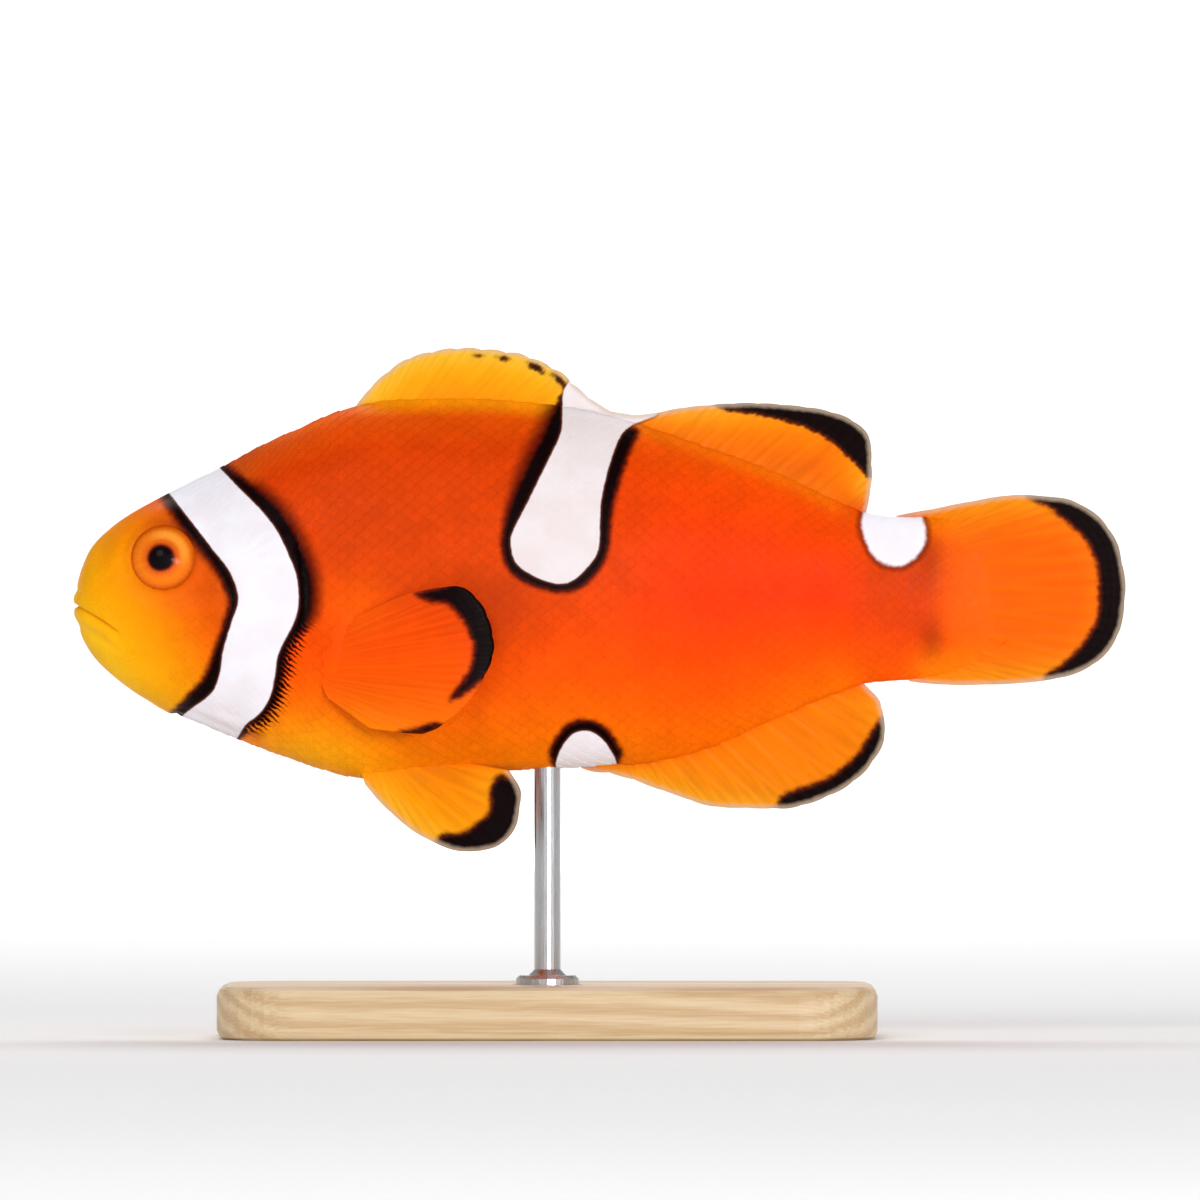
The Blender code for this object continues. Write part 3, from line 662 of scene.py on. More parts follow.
# --- Materials ---
def set_inputs(node, **inputs):
    """Links a node's inputs, or sets them where they are the same all over, by name or number."""
    for name, value in inputs.items():
        key = int(name[1:]) if name[0] == "i" and name[1:].isdigit() else name.replace("_", " ")
        socket = node.inputs[key]
        if isinstance(value, bpy.types.NodeSocket):
            node.id_data.links.new(value, socket)
        else:
            socket.default_value = value


def add_node(tree, kind, settings=None, **inputs):
    """A node with its settings and inputs."""
    node = tree.nodes.new("ShaderNode" + kind)
    for name, value in (settings or {}).items():
        setattr(node, name, value)
    set_inputs(node, **inputs)
    return node


def tree_of(*values):
    """The node tree that the linked ones among the values are in."""
    return next(value.id_data for value in values if isinstance(value, bpy.types.NodeSocket))


def read(tree, name, output="Fac"):
    """A mesh attribute."""
    return add_node(tree, "Attribute", {"attribute_name": name}).outputs[output]


def object_place(tree, stretch=(1.0, 1.0, 1.0)):
    """The place on the object in millimetres, stretched for a grain."""
    where = add_node(tree, "TexCoord").outputs["Object"]
    scale = tuple(1000.0 * k for k in stretch)
    return add_node(tree, "Mapping", Vector=where, Scale=scale).outputs["Vector"]


def noise(where, scale, detail=3.0):
    made = add_node(tree_of(where), "TexNoise", Vector=where, Scale=scale, Detail=detail)
    return made.outputs["Fac"]


def maths(operation, *values):
    inputs = {f"i{k}": value for k, value in enumerate(values)}
    return add_node(tree_of(*values), "Math", {"operation": operation}, **inputs).outputs[0]


def mapped(value, start, end, low=0.0, high=1.0, smooth=True):
    settings = {"interpolation_type": "SMOOTHSTEP" if smooth else "LINEAR"}
    inputs = {"Value": value, "From_Min": start, "From_Max": end, "To_Min": low, "To_Max": high}
    return add_node(tree_of(value), "MapRange", settings, **inputs).outputs["Result"]


def spread(noise_value, low, high):
    """A noise, which hardly leaves 0.3 to 0.7, spread over a range of its own."""
    return mapped(noise_value, 0.3, 0.7, low, high)


def mixed(share, a, b, kind="MIX"):
    """Colour a turning into colour b."""
    settings = {"data_type": "RGBA", "blend_type": kind}
    return add_node(tree_of(share, a, b), "Mix", settings, i0=share, i6=a, i7=b).outputs[2]


def shaded(hue, shade):
    """A colour made darker or lighter by a factor."""
    return mixed(1.0, hue, shade, "MULTIPLY")


def rgba(code):
    return (*colour(code), 1.0)


def new_material(name):
    material = bpy.data.materials.new(name)
    material.use_nodes = True
    return material, material.node_tree, material.node_tree.nodes["Principled BSDF"]


def add_bump(shader, height, strength, distance):
    inputs = {"Height": height, "Strength": strength, "Distance": distance * MM}
    set_inputs(shader, Normal=add_node(tree_of(height), "Bump", **inputs).outputs["Normal"])


def comb_teeth(where):
    """Fine teeth that point back and down, where the black behind the head bar ends."""
    tree = tree_of(where)
    slant = add_node(tree, "Mapping", Vector=where, Rotation=(0, math.radians(-35), 0)).outputs[0]
    across = add_node(tree, "SeparateXYZ", Vector=slant).outputs["Z"]
    uneven = noise(where, 1.3, 2.0)
    across = maths("DIVIDE", across, TOOTH_PITCH)
    across = maths("MULTIPLY_ADD", uneven, 1.5, across)
    tooth = maths("POWER", maths("PINGPONG", across, 0.5), 1.3)
    return maths("MULTIPLY_ADD", tooth, maths("MULTIPLY_ADD", uneven, 4.4, 0.2), -0.45)


def marked_colour(ground, where, lanes=None):
    """The black and white markings over the ground colour. On a fin, black runs along the lanes."""
    tree = tree_of(where)
    ragged = maths("SUBTRACT", noise(where, 2.2, 2.0), 0.5)
    depth = maths("MULTIPLY_ADD", ragged, 0.30, read(tree, "black"))
    if lanes:
        depth = maths("MULTIPLY_ADD", maths("SUBTRACT", lanes, 0.5), 0.4, depth)
    depth = maths("MULTIPLY_ADD", comb_teeth(where), read(tree, "comb"), depth)
    fade = maths("MULTIPLY", read(tree, "soft"), -1.6)
    inked = mixed(mapped(depth, fade, 0.10, 0.0, 0.95), ground, rgba(EMBER))
    inked = mixed(mapped(depth, -0.10, 0.35), inked, rgba(INK))
    # The middle bar, round x = -2 and over z = 28 in the frame, is duller than the other white.
    x, _, z = add_node(tree, "SeparateXYZ", Vector=where).outputs
    dull = mapped(maths("ABSOLUTE", maths("ADD", x, 2.0)), 12.0, 8.0, 0.0, 0.75)
    dull = maths("MULTIPLY", dull, mapped(z, 26.0, 30.0))
    pearl = mapped(noise(where, 0.35, 2.0), 0.35, 0.65, 0.0, 0.3)
    pearl = maths("ADD", pearl, dull)
    white = mixed(pearl, rgba(WHITE), rgba(SHADED_WHITE))
    edge = maths("MULTIPLY_ADD", ragged, 0.10, read(tree, "white"))
    # White that isn't edged in black keeps a thin brown line.
    line = mapped(maths("ABSOLUTE", edge), 0.20, 0.04, 0.0, 0.6)
    inked = mixed(line, inked, rgba(WHITE_LINE))
    return mixed(mapped(edge, -0.02, 0.12), inked, white)


def skin_material(name, scaly):
    material, tree, shader = new_material(name)
    where = object_place(tree)
    slow = spread(noise(where, 0.45), 0.95, 1.04)
    fine = spread(noise(where, 6.0), 0.95, 1.04)
    shade = maths("MULTIPLY", slow, fine)
    if scaly:
        grain = mapped(read(tree, "grain"), 0.0, 1.0, 0.96, 1.04, smooth=False)
        # Painted shade: each scale is darker towards its free edge and sides, where it overlaps the
        # next, and partly this is the darker pigment at a scale's edge.
        rim = mapped(read(tree, "rim"), 0.45, 1.0, 1.0, 0.93)
        shade = maths("MULTIPLY", shade, maths("MULTIPLY", grain, rim))
    marked = marked_colour(shaded(read(tree, "tint", "Color"), shade), where)
    sheen = spread(noise(where, 1.6), 0.34, 0.46)
    set_inputs(shader, Base_Color=marked, Roughness=sheen, Specular_IOR_Level=FISH_GLOSS)
    add_bump(shader, noise(where, 9.0, 2.0), 0.25, 0.03)
    return material


# --- The skin ---
HEAD_END, BODY_END = 18.5, BODY_STATIONS[-1, 0]
HEAD_RINGS, BODY_RINGS = 235, 96
SKIN_SIDES = 296


def build_skin(material):
    head_rings = np.linspace(0.03, math.sqrt(HEAD_END), HEAD_RINGS)
    body_rings = np.linspace(math.sqrt(HEAD_END), math.sqrt(BODY_END), BODY_RINGS)[1:]
    roots = np.concatenate([head_rings, body_rings])
    rows, sides = len(roots), SKIN_SIDES
    # The first corner is under the belly, where the unwrap is cut.
    angles = math.pi - math.tau * np.arange(sides) / sides
    points = skin_surface(*np.meshgrid(roots, angles, indexing="ij"))
    tips = points[[0, -1]].mean(axis=1)
    vertices = np.concatenate([points.reshape(-1, 3), tips])
    snout, stern = rows * sides, rows * sides + 1
    faces = [tuple(face) for face in grid_faces(rows, sides, closed=True)]
    last = (rows - 1) * sides
    for k in range(sides):
        after = (k + 1) % sides
        faces.append((snout, after, k))
        faces.append((stern, last + k, last + after))
    run = np.linalg.norm(np.diff(points, axis=0), axis=-1).mean(axis=1)
    along = np.concatenate([[0.0], np.cumsum(run)])
    u = 0.01 + 0.98 * along / along[-1]
    v = np.arange(sides + 1) / sides
    uv = []
    for u0, u1 in zip(u[:-1], u[1:], strict=True):
        for v0, v1 in zip(v[:-1], v[1:], strict=True):
            uv += [(u0, v0), (u0, v1), (u1, v1), (u1, v0)]
    for v0, v1 in zip(v[:-1], v[1:], strict=True):
        uv += [(0.0, v0), (u[0], v1), (u[0], v0), (1.0, v0), (u[-1], v0), (u[-1], v1)]
    skin = new_piece("skin", vertices, faces, material, body_marks(vertices), uv)
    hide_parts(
        "head", "lower_jaw", "gill_cover_left", "gill_cover_right", "trunk", "hind_body",
        "tail_stalk",
    )


# --- The scales ---
SCALE_ROWS = (  # along the scale, and half its width there
    (-0.80, 0.60), (-0.35, 0.93), (0.05, 0.97), (0.35, 0.86), (0.60, 0.68), (0.80, 0.46),
    (0.94, 0.22),
)
SCALE_COLUMNS = 5
SCALE_LIFT = 0.10
SCALE_LENGTH, SCALE_HALF_WIDTH = 0.98, 0.62  # of a whole scale, as shares of its size
SCALE_STEP = 0.60  # from one column of scales to the next, as a share of their size
SCALES_START, HEAD_SCALES_END, SCALES_END = 5.0, 18.0, 68.4
PATCH_HALF = 0.0015  # of a scale's patch on the unwrap
scale_size = smooth_curve((5.0, 12.0, 20.0, 44.0, 58.0, 70.0), (0.60, 0.72, 1.05, 1.02, 0.82, 0.55))


def scale_roots(side):
    """Where scales are rooted on one side: rows that run level with the middle of the flank."""
    roots, angles, sizes = [], [], []
    x, column = SCALES_START, 0
    fine = np.linspace(0.0, math.pi, 241)
    while x < SCALES_END:
        size = float(scale_size(x))
        girth = skin_surface(np.full(fine.shape, math.sqrt(x)), side * fine)
        run = run_along(girth)
        middle = run[len(fine) // 2]
        count = int(run[-1] / size) + 2
        places = (np.arange(-count, count) + 0.5 * (column % 2)) * size + middle
        places = places[(places > 0.25 * size) & (places < run[-1] - 0.25 * size)]
        roots += [math.sqrt(x)] * len(places)
        angles += list(side * np.interp(places, run, fine))
        sizes += [size] * len(places)
        x += SCALE_STEP * size
        column += 1
    return np.array(roots), np.array(angles), np.array(sizes)


def scaly(points):
    """How fully scaled the skin is: not at all on the snout and round the eye."""
    x, _, z = np.moveaxis(points, -1, 0)
    away = np.hypot(x - EYE_X, z - EYE_Z)
    face = ramp_up(x + 0.12 * z, 6.2, 9.0) * ramp_up(away, 3.3, 4.0)
    return face * ramp_up(x, 69.5, 66.0)


def clear_of_folds(points):
    """Away from the gill opening, the cheek's edge and the root of the pectoral fin."""
    x, _, z = np.moveaxis(points, -1, 0)
    gill = edge_distance(gill_x, x, z)
    in_gill = (gill > -0.35) & (gill < 0.45) & (z < GILL_TOP + 0.4)
    lobe = ((x - 19.7) / 1.1) ** 2 + ((z + 5.6) / 3.0) ** 2 < 1
    return ~in_gill & ~lobe


def scale_plate():
    """One scale: a curved sheet with a skirt round its sides and its free edge."""
    along, width = (np.array(column) for column in zip(*SCALE_ROWS, strict=True))
    across = np.linspace(-1, 1, SCALE_COLUMNS)
    lattice = np.arange(along.size * SCALE_COLUMNS).reshape(-1, SCALE_COLUMNS)
    # The rim goes down one side, round the free edge and up the other side.
    rim = np.concatenate([lattice[:, 0], lattice[-1, 1:-1], lattice[::-1, -1]])
    corners = np.concatenate([lattice.ravel(), rim, rim])
    u = np.repeat(along, SCALE_COLUMNS)[corners]
    v = (width[:, None] * across).ravel()[corners]
    share = (u - along[0]) / (along[-1] - along[0])
    rise = 0.95 * share - 0.40 * v**2 * (1 - share) + 0.08 * (1 - v**2)
    rise[-rim.size :] = -0.15
    aside = np.tile(np.abs(across), along.size)[corners]
    # hind marks the free edge and sides, which the scaly skin darkens with painted shade and edge
    # pigment.
    hind = np.maximum(aside**3, ramp_up(u, 0.55, 0.94)) * ramp_up(u, -0.1, 0.3)
    top = lattice.size + np.arange(rim.size - 1)
    low = top + rim.size
    skirt = np.stack([top, low, low + 1, top + 1], axis=1)
    return u, v, rise, hind, np.concatenate([grid_faces(*lattice.shape), skirt])


def build_scales(name, side, start, end, material, seed):
    """Thin overlapping plates, raised at their hind edge, between two places along the body."""
    root, angle, size = scale_roots(side)
    x = root**2
    middle = skin_surface(root, angle)
    cover = scaly(middle)
    keep = (x >= start) & (x < end) & (cover > 0.12) & clear_of_folds(middle)
    # From here on, a row is a scale and a column is a corner of it.
    x, root, angle, size, cover = (each[keep, None] for each in (x, root, angle, size, cover))
    small = 1e-3
    here = body_surface(root, angle)
    per_root = np.linalg.norm(body_surface(root + small, angle) - here, axis=-1) / small
    per_angle = np.linalg.norm(body_surface(root, angle + small) - here, axis=-1) / small
    chance = np.random.default_rng(seed)
    grain = chance.random(len(root))
    tilt = chance.normal(0.0, 0.05, root.shape)

    u, v, rise, hind, faces = scale_plate()
    roots = root + SCALE_LENGTH * size * u / per_root
    across = SCALE_HALF_WIDTH * size * (v + tilt * u)
    angles = angle + side * across / np.maximum(per_angle, 1e-3)
    over = SCALE_LIFT * (cover * np.clip(size, 0.5, 1.0)) * rise
    points = skin_surface(roots, angles, over).reshape(-1, 3)
    shift = u.size * np.arange(len(root))[:, None, None]
    all_faces = (faces + shift).reshape(-1, 4)
    if side == RIGHT:
        all_faces = all_faces[:, ::-1]
    values = body_marks(points)
    values["grain"] = np.repeat(grain, u.size)
    # rim carries the painted shade and edge pigment at each scale's free edge and sides.
    values["rim"] = np.tile(hind, len(root))

    # Every scale is a small patch at its root's place on the unwrap of the body.
    map_u = 0.02 + 0.96 * x / BODY_END + PATCH_HALF * u
    map_v = 0.02 + 0.96 * np.abs(angle) / math.pi + PATCH_HALF * v
    uv = np.stack([map_u.ravel(), map_v.ravel()], axis=1)[all_faces.ravel()]
    scales = new_piece(name, points, all_faces, material, values, uv)


# --- The fins ---
def ray_ridges(share, out, spacing, split_from):
    """How near a point is to the middle of a ray, as a ridge from 0 to 1.

    share counts in rays. Each splits in two past split_from, and then in four.
    """
    within = share % 1.0 - 0.5
    first = 0.25 * ramp_up(out, split_from, min(1.0, split_from + 0.45))
    second = 0.125 * ramp_up(out, split_from + 0.3, 1.05)
    width = np.maximum((0.20 - 0.09 * out) * spacing, 0.03)
    branches = [within - a * first - b * second for a in (-1, 1) for b in (-1, 1)]
    nearest = np.min(np.abs(branches), axis=0) * spacing
    return np.clip(1 - (nearest / width) ** 2, 0.0, 1.0)


def spine_ridges(share, out, spacing):
    """The same for hard spines, which stay whole and taper to a point."""
    within = share % 1.0 - 0.5
    return np.clip(1 - (np.abs(within) * spacing / (0.17 - 0.10 * out)) ** 2, 0.0, 1.0)


def margin_dashes(x, margin):
    """Short black dashes along the spiny dorsal's margin, the first of them faint."""
    depths = [
        0.26 - np.hypot(margin - 0.58, 0.48 * (x - place)) - 0.22 * (1 - strength)
        for place, strength in DORSAL_DASHES
    ]
    return np.max(depths, axis=0)


def build_fin(
    name, nodes, pairs, material, rays, tint, own, black, white=(), at=(0.0, 0.0, 0.0),
    bend=lambda x, z: 0.0 * x, spines=0, split=0.45, flare=0.35, columns=12, rows=44, wave=0.12,
    soft=0.25, edge=0.0, relief=0.55, dashes=lambda x, margin: -9.0,
):
    """A fin with raised rays on both faces, thin at its margin and flared where it meets the body.

    own(x, z) is the share of the fin's own tint(x, margin), where margin is the distance from the
    fin's edge. Where it's 0 the fin has the body's colour. bend gives the distance out to the side.
    The first rays may be spines. edge is how far the clear border is moved inwards or, below 0, out
    of sight. relief is how far the rays stand out.
    """
    share = np.linspace(0, 1, rays * columns + 1)
    out = np.linspace(0, 1, rows) ** 0.9
    out, share = np.meshgrid(out, share, indexing="ij")
    root_line, tip_line = paired_lines(pairs)
    start, end = root_line(share), tip_line(share)
    share = share * rays
    length = np.linalg.norm(end - start, axis=-1)
    spiny = share < spines
    spacing = run_along(tip_line(np.linspace(0, 1, 60)))[-1] / rays
    # The margin draws in a little between two rays.
    notch = np.where(spiny, 0.16, 0.07) * (2 * (share % 1.0 - 0.5)) ** 2
    reach = out * (1 - notch / np.maximum(length, 1.0))
    flat = start + (end - start) * reach[..., None]
    x, z = flat[..., 0], flat[..., 1]
    ray = np.where(
        spiny, spine_ridges(share, out, spacing), ray_ridges(share, out, spacing, split)
    )
    half = 0.10 * (1 - 0.65 * out) * (0.80 + relief * ray) + flare * ramp_up(reach, 0.55, 0.0) ** 2
    half = 0.03 + half * (0.25 + 0.75 * ramp_up(out, 1.0, 0.965))
    middle = bend(x, z) + wave * out * np.sin(math.tau * (1.6 * share / rays + 0.35 * out))
    # The rays of a back fin turn one way from first to last, and those of a belly fin the other.
    (ax, az), (bx, bz) = start[0, -1] - start[0, 0], end[-1, -1] - start[0, 0]
    first = LEFT if ax * bz < az * bx else RIGHT
    sheets = [
        np.stack([x + at[0], middle + at[1] + side * half, z + at[2]], axis=-1)
        for side in (first, -first)
    ]
    points = np.concatenate([sheet.reshape(-1, 3) for sheet in sheets])
    faces = grid_faces(*share.shape)
    # The border joins the two faces.
    lattice = np.arange(share.size).reshape(share.shape)
    border = np.concatenate([lattice[:, 0], lattice[-1, 1:], lattice[-2::-1, -1]])
    after = border + share.size
    seam = np.stack([border[:-1], border[1:], after[1:], after[:-1]], axis=1)
    all_faces = np.concatenate([faces[:, ::-1], faces + share.size, seam])

    px, pz = (x + at[0]).ravel(), (z + at[2]).ravel()
    margin_line = tip_line(np.linspace(0, 1, 80)) + np.array((at[0], at[2]))
    margin = line_distance(margin_line, px, pz)
    inked = np.maximum(deepest(black, px, pz), dashes(px, margin))
    values = {
        "tint": blend(body_tint(px, pz), tint(px, margin), own(px, pz)),
        "black": inked,
        "white": deepest(white, px, pz) if white else np.full(px.shape, -9.0),
        "soft": np.full(px.shape, soft),
        "comb": np.zeros(px.shape),
        "ray": ray.ravel(),
        "edge": margin - edge,
        "share": share.ravel(),
        "out": out.ravel(),
    }
    values = {key: np.concatenate([data, data]) for key, data in values.items()}
    half_map = np.stack([0.01 + 0.98 * share.ravel() / rays, 0.01 + 0.47 * out.ravel()], axis=1)
    map_all = np.concatenate([half_map, half_map + (0.0, 0.5)])
    fin = new_piece(name, points, all_faces, material, values, map_all[all_faces.ravel()])
    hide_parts(*nodes)


def fin_material():
    material, tree, shader = new_material("fin")
    where = object_place(tree)
    ray, out = read(tree, "ray"), read(tree, "out")
    slow = spread(noise(where, 0.5), 0.96, 1.03)
    # Fine streaks run along the rays.
    lane = maths("MULTIPLY", read(tree, "share"), 4.0)
    lanes = add_node(tree, "CombineXYZ", X=lane, Y=out).outputs[0]
    streak_noise = noise(lanes, 1.0, 2.0)
    streak = spread(streak_noise, 0.92, 1.04)
    lit = mapped(ray, 0.0, 1.0, 0.94, 1.03)
    shade = maths("MULTIPLY", maths("MULTIPLY", slow, streak), lit)
    ground = shaded(read(tree, "tint", "Color"), shade)
    marked = marked_colour(ground, where, streak_noise)
    ragged = maths("MULTIPLY_ADD", noise(where, 1.8, 2.0), 0.20, read(tree, "edge"))
    clear = mapped(ragged, 0.60, 0.20, 0.0, 0.6)
    marked = mixed(clear, marked, rgba(CLEAR_EDGE))
    sheen = spread(noise(where, 1.6), 0.30, 0.42)
    set_inputs(shader, Base_Color=marked, Roughness=sheen, Specular_IOR_Level=FISH_GLOSS)
    # The soft rays are jointed crosswise.
    joints = maths("SINE", maths("MULTIPLY", out, 150.0))
    jointed = maths("MULTIPLY", joints, ray)
    grain = maths("MULTIPLY_ADD", jointed, 0.3, noise(where, 7.0, 2.0))
    add_bump(shader, grain, 0.3, 0.03)
    return material


def dorsal_share(x, z):
    spiny = ramp_up(above_back(x, z), -1.0, 0.4)
    soft = ramp_up(above_back(x, z), -0.5, 2.5)
    return spiny + (soft - spiny) * ramp_up(x, 38.0, 43.0)


def dorsal_tint(x, margin):
    spiny, soft = gradient(SPINY_DORSAL, margin), gradient(SOFT_DORSAL, margin)
    return blend(spiny, soft, ramp_up(x, 41.0, 44.0))


def anal_tint(x, margin):
    return blend(gradient(ANAL_FIN, margin), colour(ANAL_HIND), 0.5 * ramp_up(x, 50.0, 58.0))


def margin_tint(stops):
    return lambda x, margin: gradient(stops, margin)


def build_unpaired_fins(material):
    build_fin(
        "dorsal_blade", ("dorsal_fin_spiny", "dorsal_fin_soft"), DORSAL, material,
        rays=26, spines=11, tint=dorsal_tint, own=dorsal_share, dashes=margin_dashes, soft=0.12,
        black=(SOFT_DORSAL_BLACK, MIDDLE_BAR_EDGING), white=(MIDDLE_BAR,),
    )
    build_fin(
        "anal_blade", ("anal_fin",), ANAL, material,
        rays=14, spines=2, columns=14, black=(ANAL_BLACK,), tint=anal_tint,
        own=lambda x, z: ramp_up(below_belly(x, z), -0.6, 1.6),
    )
    build_fin(
        "tail_blade", ("tail_fin",), CAUDAL, material,
        rays=15, columns=16, rows=56, split=0.25, flare=0.25, relief=0.4, black=(CAUDAL_BLACK,),
        tint=margin_tint(TAIL_FIN), own=lambda x, z: ramp_up(x, 63.0, 70.0),
    )


def build_paired_fins(material, side, word):
    x, y, z = PECTORAL_AT
    build_fin(
        "pectoral_blade_" + word, ("pectoral_fin_" + word,), PECTORAL, material,
        rays=17, rows=50, split=0.3, wave=0.16, relief=0.3, edge=-1.0, at=(x, side * y, z),
        bend=lambda x, z: side * (PECTORAL_SPLAY * x - PECTORAL_CURL * x * x),
        black=(PECTORAL_BLACK, PECTORAL_STROKE), tint=margin_tint(ANAL_FIN),
        own=lambda x, z: 0.0 * x,
    )
    x, y, z = PELVIC_AT
    build_fin(
        "pelvic_blade_" + word, ("pelvic_fin_" + word,), PELVIC, material,
        rays=6, spines=1, columns=18, rows=40, split=0.2, at=(x, side * y, z),
        bend=lambda x, z: side * PELVIC_SPLAY * -z, black=(PELVIC_BLACK,),
        tint=margin_tint(PELVIC_FIN), own=lambda x, z: ramp_up(below_belly(x, z), -1.0, 1.5),
    )


# --- The eyes ---
def eye_material():
    material, tree, shader = new_material("eye")
    radius = read(tree, "radius")
    where = object_place(tree)
    fibres = add_node(
        tree, "CombineXYZ", X=read(tree, "turn_x"), Y=read(tree, "turn_y"), Z=radius
    ).outputs[0]
    stretched = add_node(tree, "Mapping", Vector=fibres, Scale=(7.0, 7.0, 0.5)).outputs[0]
    threads = noise(stretched, 1.6, 4.0)
    ragged = maths("MULTIPLY_ADD", noise(where, 1.2, 2.0), 0.12, radius)
    ramp = add_node(tree, "ValToRGB", Fac=maths("DIVIDE", ragged, IRIS_REACH))
    elements = ramp.color_ramp.elements
    while len(elements) < len(IRIS):
        elements.new(0.5)
    for element, (position, code) in zip(elements, IRIS, strict=True):
        element.position = position
        element.color = rgba(code)
    shade = spread(threads, 0.93, 1.05)
    iris = shaded(ramp.outputs["Color"], shade)
    # A painted highlight: a bright gold band is painted over the upper hind part of the iris.
    upwards = maths("MULTIPLY", read(tree, "turn_y"), 0.8)
    upwards = maths("MULTIPLY_ADD", read(tree, "turn_x"), -0.6, upwards)
    band = mapped(maths("ABSOLUTE", maths("SUBTRACT", radius, 1.75)), 0.45, 0.1)
    painted_highlight = maths("MULTIPLY", band, mapped(upwards, 0.1, 0.9, 0.0, 0.75))
    iris = mixed(painted_highlight, iris, rgba(IRIS_HIGHLIGHT))
    set_inputs(shader, Base_Color=iris, Roughness=0.35, Specular_IOR_Level=0.03)
    set_inputs(shader, Coat_Weight=0.09, Coat_Roughness=0.03)
    add_bump(shader, threads, 0.35, 0.05)
    return material


def build_eye(side, word, material):
    """A ball segment that bulges from the orbit's plane."""
    rings, sides = 40, 96
    outwards = np.array((-EYE_TURN[0], 1.0, -EYE_TURN[1]))
    outwards /= np.linalg.norm(outwards)
    forwards = np.cross((0, 0, 1.0), outwards)
    forwards /= np.linalg.norm(forwards)
    upwards = np.cross(outwards, forwards)
    ball = (EYE_RADIUS**2 + EYE_BULGE**2) / (2 * EYE_BULGE)
    # The ball goes on a little way under the rim.
    lowest = math.asin((EYE_RADIUS + 0.25) / ball)
    tilt = np.linspace(0.004, lowest, rings)[:, None]
    turn = math.tau * np.arange(sides)[None, :] / sides
    radius = ball * np.sin(tilt) * np.ones_like(turn)
    out = ball * np.cos(tilt) - (ball - EYE_BULGE) + LENS_BULGE * ridge(radius, LENS_WIDTH)
    flat_x, flat_y = radius * np.cos(turn), radius * np.sin(turn)
    middle = np.array((EYE_X, EYE_PLANE, EYE_Z))
    points = middle + forwards * flat_x[..., None] + upwards * flat_y[..., None]
    points += outwards * out[..., None]
    apex = middle + outwards * (EYE_BULGE + LENS_BULGE)
    vertices = np.concatenate([points.reshape(-1, 3), [apex]])
    vertices[:, 1] *= side
    faces = [tuple(face) for face in grid_faces(rings, sides, closed=True)]
    faces += [(rings * sides, (k + 1) % sides, k) for k in range(sides)]
    if side == RIGHT:
        faces = [face[::-1] for face in faces]
    # The pupil sits a little low, so the iris is measured from there at its middle.
    flat_x, flat_y = np.append(flat_x, 0.0), np.append(flat_y, 0.0)
    flat_y -= PUPIL_SHIFT * ramp_up(np.hypot(flat_x, flat_y), EYE_RADIUS, 0.3)
    from_pupil = np.hypot(flat_x, flat_y)
    values = {
        "radius": from_pupil,
        "turn_x": flat_x / np.maximum(from_pupil, 0.01),
        "turn_y": flat_y / np.maximum(from_pupil, 0.01),
    }
    eye = new_piece("eyeball_" + word, vertices, faces, material, values)
    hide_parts("eye_" + word)


# --- The stand ---
def steel_material():
    material, tree, shader = new_material("stand_steel")
    brushed = noise(object_place(tree, (6.0, 6.0, 0.25)), 2.0)
    metal = mixed(brushed, STEEL_DARK, STEEL_PALE)
    rough = spread(brushed, 0.24, 0.40)
    set_inputs(shader, Base_Color=metal, Roughness=rough, Metallic=1.0)
    add_bump(shader, brushed, 0.15, 0.02)
    return material


def wood_material():
    """A plank cut from beside the heart of a trunk, whose rings run round a line along x."""
    material, tree, shader = new_material("stand_wood")
    _, y, z = add_node(tree, "SeparateXYZ", Vector=object_place(tree)).outputs
    aside, above = maths("SUBTRACT", y, 7.0), maths("ADD", z, 24.0)
    squares = maths("MULTIPLY_ADD", aside, aside, maths("MULTIPLY", above, above))
    wander = noise(object_place(tree, (0.10, 1.0, 1.0)), 0.10)
    radius = maths("MULTIPLY_ADD", wander, 7.0, maths("SQRT", squares))
    bands = maths("SINE", maths("MULTIPLY", radius, 4.2))
    fibre = noise(object_place(tree, (0.12, 3.0, 3.0)), 2.0, 4.0)
    share = maths("MULTIPLY_ADD", bands, 0.2, fibre)
    wood = mixed(mapped(share, 0.1, 0.9), rgba(WOOD_DARK), rgba(WOOD_PALE))
    set_inputs(shader, Base_Color=wood, Roughness=spread(fibre, 0.42, 0.58))
    set_inputs(shader, Coat_Weight=0.15, Coat_Roughness=0.3)
    add_bump(shader, share, 0.25, 0.05)
    return material


def finish_stand():
    for node, material in (("stand_rod", steel_material()), ("stand_base", wood_material())):
        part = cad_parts[node]
        for slot in part.material_slots:
            slot.material = material


# --- Light, floor and camera ---
STUDIO_PROFILE = (  # distance from the middle and height, in metres
    (0.0, 0.0), (1.45, 0.0), (1.60, 0.03), (1.72, 0.12), (1.78, 0.3), (1.8, 0.6),
)
STUDIO_RINGS, STUDIO_SIDES = 60, 72
FISH_MIDDLE = (0.0, 0.0, 0.034)
LAMPS = (  # name, place, diameter, watts and what it points at
    ("key", (-0.35, -0.75, 0.50), 0.5, 2.6, FISH_MIDDLE),
    ("fill", (0.30, -0.75, 0.12), 0.22, 2.7, FISH_MIDDLE),
    ("sky", (0.0, 0.8, 1.0), 0.9, 9.8, (0.0, 0.8, 0.0)),
    ("wall", (0.0, 0.9, 0.30), 0.3, 2.8, (0.0, 1.75, 0.08)),
    ("front_wall", (0.0, -0.9, 0.45), 0.3, 2.2, (0.0, -1.75, 0.15)),
)
WORLD_LIGHT = 0.26
VIEW_WIDTH, CAMERA_AWAY = 0.0913, 1.4  # of the view at the fish, and of the camera from it
CAMERA_DROP = 0.76  # under the body axis


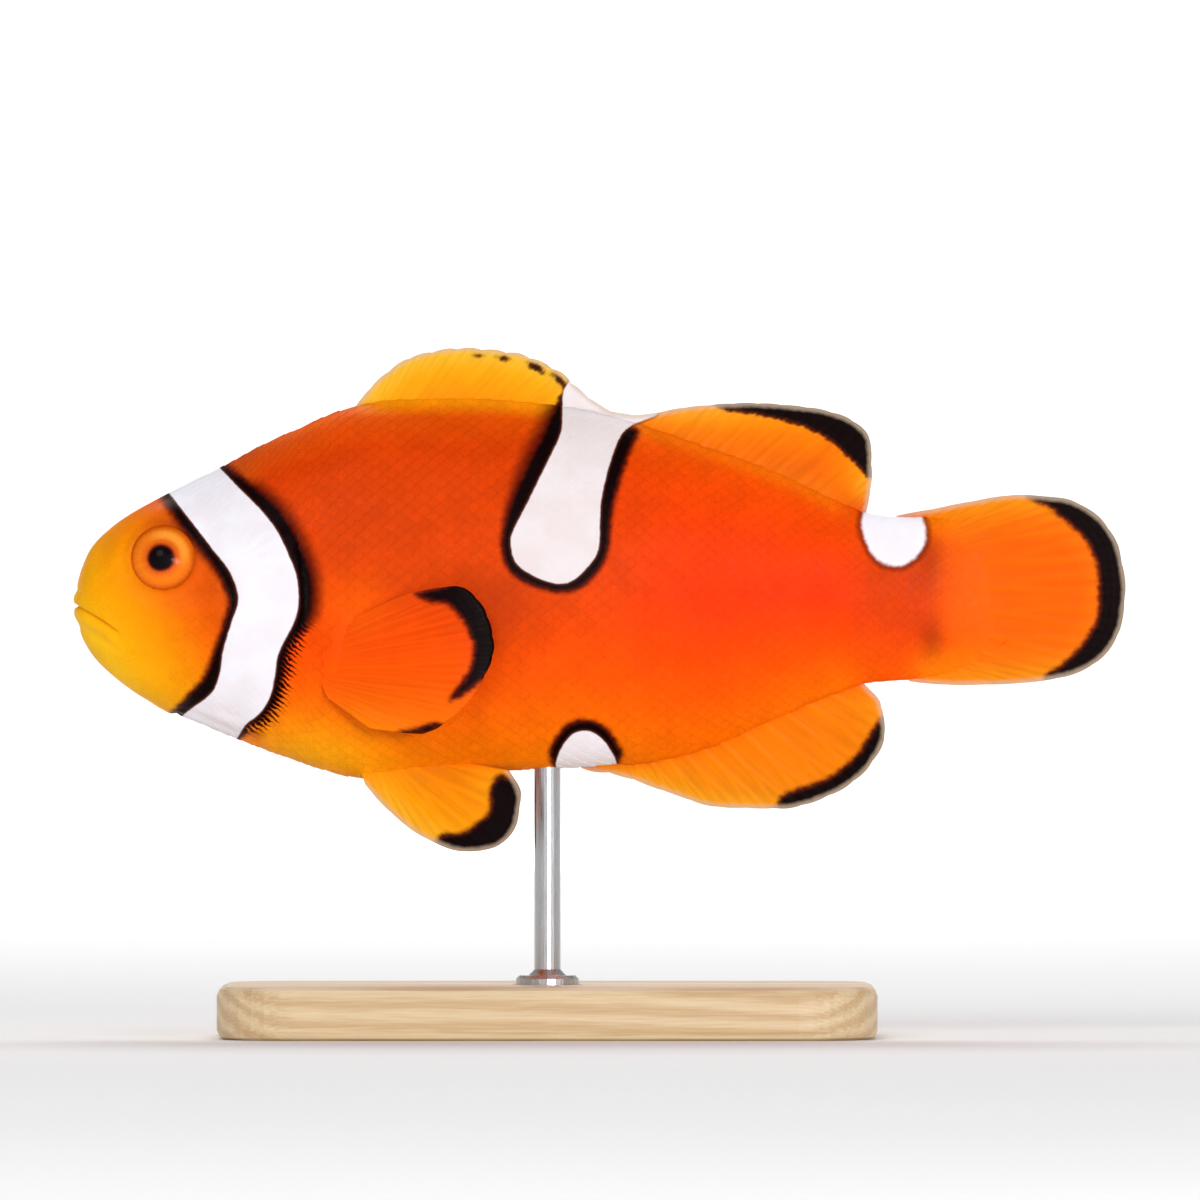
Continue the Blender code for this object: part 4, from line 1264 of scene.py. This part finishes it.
def build_stage():
    """A round white studio: the floor curves up into a wall that stands behind every view."""
    run = run_along(STUDIO_PROFILE)
    profile = smooth_curve(run / run[-1], STUDIO_PROFILE)(np.linspace(0, 1, STUDIO_RINGS))
    turn = math.tau * np.arange(STUDIO_SIDES)[None, :] / STUDIO_SIDES
    radius, height = profile[:, :1], profile[:, 1:]
    points = np.stack([radius * np.cos(turn), radius * np.sin(turn), height + 0 * turn], axis=-1)
    faces = grid_faces(STUDIO_RINGS, STUDIO_SIDES, closed=True)
    material, tree, shader = new_material("studio")
    paper = noise(object_place(tree), 0.02, 0.0)
    white = mixed(paper, PAPER_DARK, PAPER_PALE)
    set_inputs(shader, Base_Color=white, Roughness=0.9, Specular_IOR_Level=0.0)
    studio = add_object("studio", smooth_mesh("studio", points.reshape(-1, 3), faces, material))


def add_light(name, at, size, power, target):
    light = bpy.data.lights.new(name, "AREA")
    light.shape = "DISK"
    light.size = size
    light.energy = power
    lamp = add_object(name, light)
    lamp.location = at
    lamp.visible_camera = False
    towards = Vector(target) - lamp.location
    lamp.rotation_euler = towards.to_track_quat("-Z", "Y").to_euler()


def build_light():
    world = bpy.data.worlds.new("studio")
    world.use_nodes = True
    set_inputs(world.node_tree.nodes["Background"], Color=(1, 1, 1, 1), Strength=WORLD_LIGHT)
    bpy.context.scene.world = world
    for lamp in LAMPS:
        add_light(*lamp)
    bpy.context.scene.view_settings.view_transform = "Standard"


def build_camera():
    camera = bpy.data.cameras.new("camera")
    camera.sensor_width = 36.0
    camera.lens = camera.sensor_width * CAMERA_AWAY / VIEW_WIDTH
    viewer = add_object("camera", camera)
    viewer.location = (0.0, -CAMERA_AWAY, FISH_ORIGIN[2] - CAMERA_DROP * MM)
    viewer.rotation_euler = (math.radians(90), 0, 0)
    bpy.context.scene.camera = viewer


build_skin(skin_material("bare_skin", scaly=False))
scale_finish = skin_material("scaly_skin", scaly=True)
for flank, word in SIDES:
    build_scales("scales_head_" + word, flank, SCALES_START, HEAD_SCALES_END, scale_finish, seed=11)
    build_scales("scales_body_" + word, flank, HEAD_SCALES_END, SCALES_END, scale_finish, seed=12)
fin_finish = fin_material()
build_unpaired_fins(fin_finish)
eye_finish = eye_material()
for flank, word in SIDES:
    build_paired_fins(fin_finish, flank, word)
    build_eye(flank, word, eye_finish)
finish_stand()
build_stage()
build_light()
build_camera()
